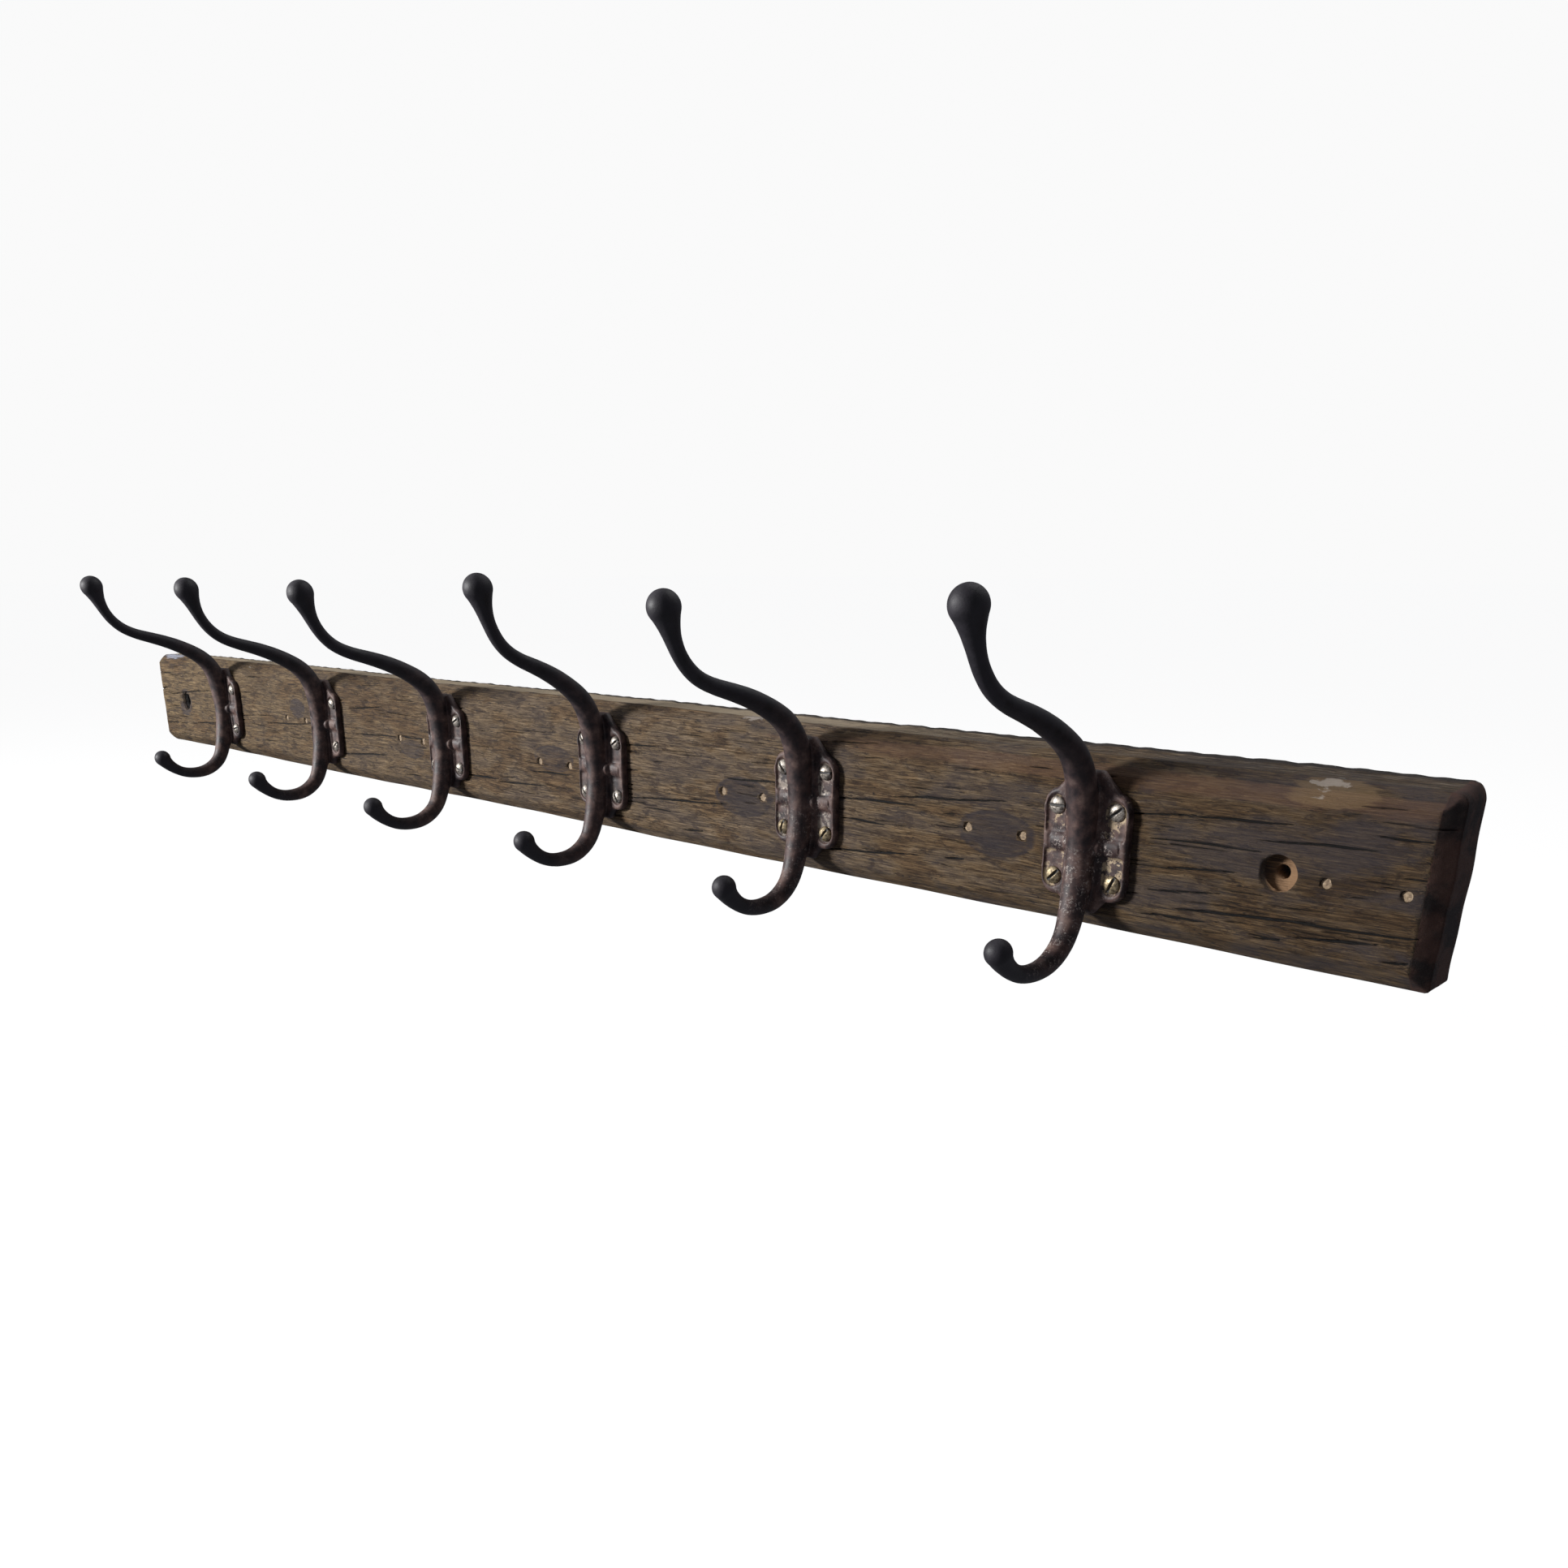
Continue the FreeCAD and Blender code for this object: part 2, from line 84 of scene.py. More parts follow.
# How high each hook's screw heads are: the last hook's are filed flatter.
SCREW_HEADS = [2.3, 2.3, 2.3, 2.3, 2.3, 1.7]
WALL_HOLE_X = 452.5
# How far the right end leans out at its top and in at its bottom.
END_LEAN = 1.5
# Width of a plain margin round the board's back.
BACK_MARGIN = 1.2
# How deep a hair crack goes, as a share of a long crack's depth.
HAIR_CRACK_DEPTH = 0.62

# Slot directions of each hook's screws, in degrees from level: upper left, upper right,
# lower left, lower right.
SLOT_TURNS = [
    (20, -35, 70, 15),
    (60, -20, 5, 48),
    (-50, 30, 85, -15),
    (-48, 35, -42, -62),
    (-50, 2, 80, 52),
    (0, 38, 46, 66),
]

# Filled holes of an older row of hooks: the pair's middle along the board and its height.
OLD_PAIRS = [(-271.5, -0.8), (-120.3, -2.4), (29.5, -2.6), (180.5, -2.7), (330, -1.1), (483.5, -1)]
OLD_SPACING = 27.4

# Dark marks that the older hooks left: middle, half length, half height, strength.
STAINS = [
    (-268, 7, 11, 7, 0.85),
    (-120, -8, 15, 6, 0.8),
    (29, 0, 19, 7.5, 0.75),
    (181, -4, 20, 10, 0.9),
    (331, -2, 20, 10, 0.9),
    (478, -2, 14, 7, 0.6),
    (-456, -6, 9, 6, 0.8),
    (402, 20, 9, 9, 0.55),
    (-440, 10, 5, 3, 0.45),
    (-330, -18, 12, 3, 0.45),
    (-225, 22, 14, 3, 0.4),
]

# Long drying cracks along the grain: from x, z, to x, z, and how wide they gape.
CRACKS = [
    (-500, 6, -485, 9, 0.6),
    (-479, 4, -408, 11, 0.6),
    (-495, -20, -471, -18, 0.6),
    (-438, -16, -404, -14, 0.6),
    (-316, -7, -254, -3, 0.7),
    (-196, 12, -153, 16, 0.6),
    (-189, -4, -138, -2, 0.7),
    (-131, -1, -103, -1, 0.8),
    (-207, -19, -153, -15, 0.9),
    (-58, -18, -27, -17, 0.9),
    (-26, -19, 20, -16, 0.8),
    (8, -9, 42, -8, 0.8),
    (94, 14, 120, 15, 0.6),
    (94, -14, 170, -9, 0.8),
    (108, -18, 128, -18, 0.5),
    (137, -26, 152, -25, 0.6),
    (168, 4, 205, 5.5, 0.7),
    (244, 3, 289, 5, 0.9),
    (245, -6, 271, -6, 0.8),
    (236, -22, 290, -17, 0.9),
    (275, 7, 335, 12, 0.9),
    (305, -16, 316, -15, 0.8),
    (389, 14, 420, 17, 0.8),
    (416, 16, 455, 18, 1.3),
    (401, 6, 446, 7, 0.9),
    (445, 11, 486, 13, 0.9),
    (486, 18, 503, 18, 0.6),
    (410, -4, 436, -2, 0.9),
    (402, -14, 432, -11, 0.6),
    (405, -23, 427, -23, 0.7),
    (413, -20, 449, -17, 1.2),
    (433, -18, 468, -16, 1.3),
    (462, -17, 503, -15, 1.3),
    (461, -22, 491, -19, 1.3),
    (447, -25, 457, -24, 0.8),
    (497, 5, 503, 5, 0.7),
    (492, -25, 501, -24, 0.7),
]

# Studio, in metres and degrees. Each light: the setting of its power, its width, and where
# it stands, as azimuth, elevation and distance.
LIGHTS = [
    ("window_light", "key_power", 0.6, -38, 14, 2.6),
    ("fill_light", "fill_power", 1.6, -75, 50, 2.2),
    ("back_light", "back_power", 1.8, 165, 55, 2.2),
]
FLOOR_REACH = 30.0
FLOOR_DROP = 0.25
CAMERA_PLACE = (0.6455, -0.4830, 0.1057)
CAMERA_DIP = 18.4855
CAMERA_TURN = 43.572
CAMERA_SHIFT = 0.1418


def linear(code):
    """An sRGB hex colour such as "8a7a60" as the linear colour that Blender works in."""
    parts = [int(code[i : i + 2], 16) / 255 for i in (0, 2, 4)]
    curve = [c / 12.92 if c <= 0.04045 else ((c + 0.055) / 1.055) ** 2.4 for c in parts]
    return (*curve, 1.0)


def add_node(tree, kind, inputs=(), stops=(), **settings):
    """Adds a node, gives it its settings and colour stops, and fills or links its inputs.
    The kind may leave out ShaderNode, and inputs that have no names are in order. A node
    stands for its first output, a list for several links, and a hex code for a colour."""
    node = tree.nodes.new(kind if "Node" in kind else "ShaderNode" + kind)
    for name, value in settings.items():
        setattr(node, name, value)
    if stops:
        elements = node.color_ramp.elements
        while len(elements) < len(stops):
            elements.new(0.5)
        for element, (place, colour) in zip(elements, stops):
            element.position = place
            element.color = linear(colour) if isinstance(colour, str) else (colour,) * 3 + (1,)
    for key, value in inputs.items() if isinstance(inputs, dict) else enumerate(inputs):
        socket = node.inputs[key]
        for item in value if isinstance(value, list) else [value]:
            if isinstance(item, bpy.types.Node):
                item = item.outputs[0]
            if isinstance(item, bpy.types.NodeSocket):
                tree.links.new(item, socket)
            elif isinstance(item, str) and socket.type == "RGBA":
                socket.default_value = linear(item)
            else:
                socket.default_value = item
    return node


def new_material(name):
    """A material with an empty node tree, and what adds nodes to it."""
    material = bpy.data.materials.new(name)
    material.use_nodes = True
    material.node_tree.nodes.clear()
    return material, partial(add_node, material.node_tree)


def close_material(material, add, inputs):
    """Ends a material with its shader."""
    add("OutputMaterial", {"Surface": add("BsdfPrincipled", inputs)})
    return material


def millimetres(add):
    """A point's place on its piece, in millimetres."""
    place = add("TexCoord").outputs["Object"]
    return add("VectorMath", {0: place, "Scale": 1 / MM}, operation="SCALE")


# Sockets of the Mix node when it mixes colours, and when it mixes numbers.
COLOUR_A, COLOUR_B, COLOUR_OUT = 6, 7, 2
NUMBER_A, NUMBER_B = 2, 3


def weathered_oak(settings):
    """Sawn oak, weathered and then waxed: brown-grey streaks along the grain, cracks and stains,
    a warmer upper edge, and a darker right half. Painted shade blackens the cracks and the left
    wall hole, rings each plate, and darkens the top back arris and the end; painted light makes
    the top face and the right wall hole's lit side paler."""
    material, add = new_material("weathered_waxed_oak")
    mm = millimetres(add)

    # The grain runs along X. A slow wave about a millimetre high keeps it from being ruled.
    slow = add("Mapping", {"Vector": mm, "Scale": (0.009, 0.03, 0.03)})
    bend = add("TexNoise", {"Vector": slow, "Scale": 1.0})
    lift = add("Math", (bend, 3.0), operation="MULTIPLY")
    shift = add("CombineXYZ", {"Z": lift})
    warped = add("VectorMath", (mm, shift))

    # Noises: how much longer than high the marks are, how many to a millimetre of height,
    # detail, roughness and distortion.
    noise = {}
    for name, stretch, per_mm, detail, rough, distortion in (
        ("bands", 12, 0.4, 6, 0.7, 0.0),
        ("streaks", 30, 1.7, 5, 0.76, 0.0),
        ("fibres", 26, 3.6, 3, 0.65, 0.0),
        ("mottle", 3, 0.3, 6, 0.68, 0.5),
        ("blots", 3, 0.06, 5, 0.62, 0.4),
        ("fissures", 20, 0.8, 3, 0.55, 0.0),
    ):
        along_grain = add("Mapping", {"Vector": warped, "Scale": (1 / stretch, 1.0, 1.0)})
        noise[name] = add(
            "TexNoise",
            {"Vector": along_grain, "Scale": per_mm, "Detail": detail, "Roughness": rough,
             "Distortion": distortion},
        )
    axes = add("SeparateXYZ", (mm,))
    # Map Range takes a value, the span it comes from, and the span it goes to.
    noise["length"] = add("MapRange", (axes.outputs["X"], -500.0, 480.0))

    # Tones and masks that the noises give.
    ramp = {}
    for name, source, stops in (
        ("lines", "streaks", [(0.34, "2b231a"), (0.42, "5d4f3c"), (0.50, "766852"),
                              (0.58, "887a65"), (0.68, "a0937c")]),
        ("bands", "bands", [(0.35, "948a80"), (0.46, "cac0b2"), (0.54, "e6dccb"),
                            (0.66, "f6eee0")]),
        ("fibres", "fibres", [(0.37, "aca18f"), (0.5, 0.97), (0.63, 1.4)]),
        ("ticks", "mottle", [(0.525, 0.0), (0.60, 0.7)]),
        ("broken", "mottle", [(0.46, 0.0), (0.52, 1.0)]),
        ("wax", "blots", [(0.42, 0.8), (0.52, 0.0)]),
        ("length", "length", [(0.0, "ded2ba"), (0.35, "dfd3c2"), (0.7, "fff8f4"),
                              (0.88, "e4d9ca"), (1.0, "c0b2a0")]),
        ("blots", "blots", [(0.47, 0.0), (0.6, 0.68)]),
    ):
        ramp[name] = add("ValToRGB", (noise[source],), stops)

    # Hair-thin fissures are a stretched noise's contour lines, kept in short lengths.
    contour = add("Math", (noise["fissures"], 0.5, 0.011), operation="COMPARE")
    fissure, blot_share = (
        add("Math", (first, second), operation="MULTIPLY")
        for first, second in ((contour, ramp["broken"]), (ramp["blots"], noise["length"]))
    )
    layers = [
        # Slower bands of olive and of purple brown, then fine light and dark fibres.
        (0.55, ramp["bands"], "MULTIPLY"),
        (0.9, ramp["fibres"], "MULTIPLY"),
        # Short dark ticks where dirt sits in open pores, and the fissures.
        (ramp["ticks"], "35261a", "MIX"),
        (fissure, "1a1514", "MIX"),
        # Brown patches where the wax lies thicker.
        (ramp["wax"], "cdbba2", "MULTIPLY"),
        # From khaki at the left to a darker grey brown at the right.
        (1.0, ramp["length"], "MULTIPLY"),
        # Blue-black patches, denser towards the right end.
        (blot_share, "332d30", "MIX"),
    ]

    # Marks, each an attribute of the mesh: its colour, the noise that breaks up its edge, by
    # how much, and its strength.
    for name, tint, breaker, spread, strength in (
        # The top face, paler: painted light on the top.
        ("top_strip", "ad9d84", "streaks", 2.2, 0.7),
        ("warm", "5f4534", "bands", 1.6, 0.45),
        ("ochre", "7d6648", "bands", 2.4, 0.4),
        # Stains of older hooks, and a darker oval round each plate that is painted shade.
        ("stain", "2a2428", "bands", 0.9, 0.85),
        # Newly cut wood in the right wall hole, painted paler on its lit side: painted light.
        ("fresh", "86684c", "streaks", 0.8, 1.0),
        ("cream", "b3aaa0", "mottle", 5.0, 0.45),
        ("paint", "8b8f9c", "streaks", 3.0, 0.75),
        # A dark line along the top back arris: painted shade where the board meets the wall.
        ("rim", "2a2320", "bands", 2.4, 0.9),
        # Dark maroon on the end and its bevel: the end grain's tone, darkened as painted shade of
        # the end facing away from the light.
        ("end_grain", "4d342b", "bands", 0.2, 1.0),
        ("end_dirt", "0f0c0e", "blots", 2.6, 0.85),
    ):
        mask = add("Attribute", attribute_name=name).outputs["Fac"]
        centred = add("Math", (noise[breaker], 0.5), operation="SUBTRACT")
        moved = add("Math", (centred, spread, mask), operation="MULTIPLY_ADD")
        edge = add("MapRange", (moved, 0.28, 0.72, 0.0, strength), interpolation_type="SMOOTHSTEP")
        # Bare wood stays bare.
        touched = add("Math", (mask, 0.05), operation="GREATER_THAN")
        share = add("Math", (edge, touched), operation="MULTIPLY")
        layers.append((share, tint, "MIX"))
    # Near-black inside the cracks and the left wall hole: painted shade of their depths.
    crack = add("Attribute", attribute_name="crack").outputs["Fac"]
    crack_depth = add("MapRange", (crack, 0.3, 0.66), interpolation_type="SMOOTHSTEP")
    layers.append((crack_depth, "0b0808", "MIX"))
    colour = ramp["lines"]
    for share, tone, blend in layers:
        colour = add(
            "Mix", {0: share, COLOUR_A: colour, COLOUR_B: tone}, data_type="RGBA", blend_type=blend
        ).outputs[COLOUR_OUT]

    # The wax leaves the ridges smoother than the open grain.
    gloss = add("MapRange", (noise["fibres"], 0.3, 0.7, 0.85, 0.6))
    height = add("Math", (noise["fibres"], 0.5, noise["streaks"]), operation="MULTIPLY_ADD")
    sunk = add("Math", (height, crack_depth), operation="SUBTRACT")
    bump = add("Bump", {"Strength": 0.8, "Distance": 0.9 * MM, "Height": sunk})
    inputs = {
        "Base Color": colour, "Roughness": gloss, "IOR": 1.45,
        "Specular IOR Level": settings.wax, "Normal": bump,
    }
    return close_material(material, add, inputs)


def painted_iron(settings):
    """Sand-cast iron under old black paint: a soft sheen on the arms, worn to brown on the
    plate and stem, with bare grey or brassy metal where it has rubbed through."""
    material, add = new_material("old_painted_cast_iron")
    mm = millimetres(add)
    wear, chips, bare, gilt = (
        add("Attribute", attribute_name=name).outputs["Fac"]
        for name in ("wear", "chips", "bare", "gilt")
    )
    # Noises: marks to a millimetre, detail and roughness.
    patches, lumps, grit, flakes = (
        add("TexNoise", {"Vector": mm, "Scale": per_mm, "Detail": detail, "Roughness": rough})
        for per_mm, detail, rough in (
            (0.16, 5, 0.6),
            (0.4, 4, 0.6),
            (1.1, 3, 0.7),
            (0.2, 6, 0.72),
        )
    )
    ridges = add("NewGeometry").outputs["Pointiness"]
    black, brown, rubbed, chipped, clusters, flaked = (
        add("ValToRGB", (source,), stops)
        for source, stops in (
            (patches, [(0.35, "1b191e"), (0.65, "2a272d")]),
            (patches, [(0.34, "221a1c"), (0.45, "382a29"), (0.55, "4b3834"), (0.67, "65514a")]),
            (ridges, [(0.53, 0.0), (0.61, 0.9)]),
            (grit, [(0.52, 0.0), (0.57, 1.0)]),
            (lumps, [(0.47, 0.0), (0.58, 1.0)]),
            (flakes, [(0.50, 0.0), (0.55, 1.0)]),
        )
    )
    # Paint worn off the ridges, light chips of a few tenths of a millimetre in clusters, and
    # metal rubbed bare in the sunk fields.
    shares = []
    for first, *others in ((rubbed, wear), (chipped, clusters, chips), (flaked, bare)):
        for other in others:
            first = add("Math", (first, other), operation="MULTIPLY")
        shares.append(first)
    edge_share, chip_share, bare_share = shares
    metal = add("Mix", {0: gilt, COLOUR_A: "8f8983", COLOUR_B: "b09a78"}, data_type="RGBA")
    colour = black
    for share, tone in (
        (wear, brown),
        (edge_share, "7d6b60"),
        (chip_share, "9a9089"),
        (bare_share, metal.outputs[COLOUR_OUT]),
    ):
        colour = add(
            "Mix", {0: share, COLOUR_A: colour, COLOUR_B: tone}, data_type="RGBA"
        ).outputs[COLOUR_OUT]
    shine = add("Math", (bare_share, 0.7), operation="MULTIPLY")
    rough = add("MapRange", (patches, 0.3, 0.7, 0.48, 0.66))
    height = add("Math", (lumps, 0.6, grit), operation="MULTIPLY_ADD")
    bump = add("Bump", {"Strength": 0.22, "Distance": 0.3 * MM, "Height": height})
    inputs = {
        "Base Color": colour, "Metallic": shine, "Roughness": rough, "IOR": 1.5,
        "Specular IOR Level": settings.sheen, "Normal": bump,
    }
    return close_material(material, add, inputs)


def rubbed_metal(name, bright, dull, roughness):
    """A turned screw, its polish rubbed dull in blotches, and its slot painted near-black and dull
    as shade.
    """
    material, add = new_material(name)
    mm = millimetres(add)
    blotches = add("TexNoise", {"Vector": mm, "Scale": 0.8, "Detail": 4.0, "Roughness": 0.6})
    tone = add("ValToRGB", (blotches,), [(0.38, dull), (0.6, bright)])
    # Inside the slot the colour goes near-black and the metal dull: painted shade in the slot.
    dirt = add("Attribute", attribute_name="dirt").outputs["Fac"]
    colour = add("Mix", {0: dirt, COLOUR_A: tone, COLOUR_B: "17120f"}, data_type="RGBA")
    outside_slot = add("MapRange", (dirt, 0.0, 1.0, 0.75, 0.0))
    rough = add("MapRange", (blotches, 0.3, 0.7, roughness + 0.14, roughness))
    bump = add("Bump", {"Strength": 0.25, "Distance": 0.15 * MM, "Height": blotches})
    inputs = {
        "Base Color": colour.outputs[COLOUR_OUT], "Metallic": outside_slot, "Roughness": rough,
        "Normal": bump,
    }
    return close_material(material, add, inputs)


def plug_wood():
    """Pale softwood end grain: chalky, with darker pores."""
    material, add = new_material("pale_end_grain_plug")
    mm = millimetres(add)
    pores = add("TexNoise", {"Vector": mm, "Scale": 1.1, "Detail": 4.0, "Roughness": 0.6})
    tone = add("ValToRGB", (pores,), [(0.32, "5f4f40"), (0.5, "87735b"), (0.68, "a79379")])
    bump = add("Bump", {"Strength": 0.5, "Distance": 0.3 * MM, "Height": pores})
    inputs = {"Base Color": tone, "Roughness": 0.8, "Normal": bump}
    return close_material(material, add, inputs)


def matt_paper(tone, glow):
    """The studio floor: plain pale matt paper, which glows a little so that it stays even."""
    material, add = new_material("pale_matt_paper")
    inputs = {
        "Base Color": (*[0.12 * part for part in tone[:3]], 1.0), "Roughness": 0.9,
        "Specular IOR Level": 0.0, "Emission Color": tone, "Emission Strength": glow,
    }
    return close_material(material, add, inputs)


def new_tree(name, sizes):
    """A geometry tree with a mesh in, a mesh out and a named input for each size, what adds
    nodes to it, and its inputs."""
    tree = bpy.data.node_groups.new(name, "GeometryNodeTree")
    tree.interface.new_socket("Geometry", in_out="INPUT", socket_type="NodeSocketGeometry")
    for label, value in sizes.items():
        kind = "NodeSocketInt" if isinstance(value, int) else "NodeSocketFloat"
        socket = tree.interface.new_socket(label, in_out="INPUT", socket_type=kind)
        socket.default_value = value
    tree.interface.new_socket("Geometry", in_out="OUTPUT", socket_type="NodeSocketGeometry")
    add = partial(add_node, tree)
    return tree, add, add("NodeGroupInput").outputs


def close_tree(tree, add, geometry, material):
    """Ends a tree: instances made real, the material set."""
    real = add("GeometryNodeRealizeInstances", (geometry,))
    painted = add("GeometryNodeSetMaterial", {"Geometry": real, "Material": material})
    add("NodeGroupOutput", (painted,))
    return tree


def push_out(add, geometry, place, lumps, selection=True):
    """Moves points along their normals by noises, each with its scale, its detail, the value
    that moves nothing, and its height."""
    offset = None
    for scale, detail, level, height in lumps:
        made = add("TexNoise", {"Vector": place, "Scale": scale, "Detail": detail})
        centred = add("Math", (made, level), operation="SUBTRACT")
        tall = add("Math", (centred, height), operation="MULTIPLY")
        offset = add("Math", (offset, tall)) if offset else tall
    normal = add("GeometryNodeInputNormal")
    push = add("VectorMath", {0: normal, "Scale": offset}, operation="SCALE")
    return add(
        "GeometryNodeSetPosition", {"Geometry": geometry, "Selection": selection, "Offset": push}
    )


def run_tree(piece, tree, values):
    """Runs a tree on an object and keeps the result as its plain mesh."""
    modifier = piece.modifiers.new(tree.name, "NODES")
    modifier.node_group = tree
    sockets = {
        item.name: item.identifier
        for item in tree.interface.items_tree
        if item.in_out == "INPUT"
    }
    for label, value in values.items():
        modifier[sockets[label]] = value
    keep_result(piece)


def keep_result(piece):
    """Replaces an object's mesh with what its modifiers make, and removes them."""
    bpy.context.view_layer.update()
    graph = bpy.context.evaluated_depsgraph_get()
    mesh = bpy.data.meshes.new_from_object(piece.evaluated_get(graph))
    old = piece.data
    piece.modifiers.clear()
    piece.data = mesh
    mesh.name = piece.name
    bpy.data.meshes.remove(old)


def new_piece(name, mesh):
    piece = bpy.data.objects.new(name, mesh)
    bpy.context.scene.collection.objects.link(piece)
    return piece


def bmesh_to_mesh(work, name):
    mesh = bpy.data.meshes.new(name)
    work.to_mesh(mesh)
    work.free()
    return mesh


def hand_over(piece, slot, *nodes):
    """Gives a finished piece to the frame: what it rides on and what it replaces. The slot, what
    it is made of, is not used.
    """
    piece.data.shade_smooth()
    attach(piece, "root")
    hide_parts(*nodes)


def store(mesh, name, values):
    """Writes one number for each vertex into a named attribute, new or there already."""
    attribute = mesh.attributes.get(name) or mesh.attributes.new(name, "FLOAT", "POINT")
    attribute.data.foreach_set("value", np.asarray(values, dtype=np.float32))


def stored(mesh, name):
    """Reads a named attribute's number for each vertex."""
    values = np.empty(len(mesh.vertices), dtype=np.float32)
    mesh.attributes[name].data.foreach_get("value", values)
    return values


def vertex_places(mesh):
    places = np.empty(len(mesh.vertices) * 3)
    mesh.vertices.foreach_get("co", places)
    return places.reshape(-1, 3) / MM


def smooth_step(low, high, values):
    t = np.clip((values - low) / (high - low), 0.0, 1.0)
    return t * t * (3 - 2 * t)


def oval_reach(x, z, middle_x, middle_z, half_x, half_z):
    """Distance from an oval's middle, as a share of the way to its rim."""
    return np.hypot((x - middle_x) / half_x, (z - middle_z) / half_z)


def oval(x, z, middle_x, middle_z, half_x, half_z, soft=0.35):
    """1 inside an oval mark and 0 outside, with a soft rim."""
    reach = oval_reach(x, z, middle_x, middle_z, half_x, half_z)
    return 1 - smooth_step(1 - soft, 1 + soft * 0.5, reach)


def board_outline(settings):
    """Columns and rows of the front face's grid, in millimetres, finer at the ends."""
    low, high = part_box("board")
    left, right = low.x / MM, high.x / MM - END_LEAN
    fine = settings.end_width / MM
    ends = np.linspace(0, fine, settings.end_columns)
    middle = np.linspace(fine, right - left - fine, settings.columns)[1:-1]
    columns = left + np.concatenate([ends, middle, right - left - ends[::-1]])
    half = high.z / MM
    return columns, np.linspace(-half, half, settings.rows), left, right, half


def crack_marks(x, z, left, right, half, hair_cracks):
    """How deep the board is cracked at each point, from 0 to 1: the long cracks, and shorter
    hair cracks among them."""
    generator = np.random.default_rng(11)
    cracks = [(*crack, 1.0) for crack in CRACKS]
    for _ in range(hair_cracks):
        start = generator.uniform(left, right - 12)
        height = generator.uniform(-half + 4, half - 6)
        length = generator.uniform(5, 26)
        slope = generator.uniform(-0.02, 0.06)
        width = generator.uniform(0.3, 0.6)
        end = (start + length, height + slope * length)
        cracks.append((start, height, *end, width, HAIR_CRACK_DEPTH))
    marks = np.zeros_like(x)
    for number, (x0, z0, x1, z1, width, deep) in enumerate(cracks):
        along = np.clip((x - x0) / (x1 - x0), 0, 1)
        wander = 0.2 * np.sin(x / 9 + number) + 0.08 * np.sin(x / 4.3 + 2 * number)
        gap = np.abs(z - (z0 + (z1 - z0) * along + wander))
        swell = np.sin(math.pi * along) * (0.8 + 0.2 * np.sin(x / 5.3 + 3 * number))
        half_width = 0.22 + 0.36 * width * swell
        inside = (x > x0) & (x < x1)
        depth = np.clip(1.15 - (gap / half_width) ** 2, 0, 1)
        marks = np.maximum(marks, inside * deep * depth)
    return marks


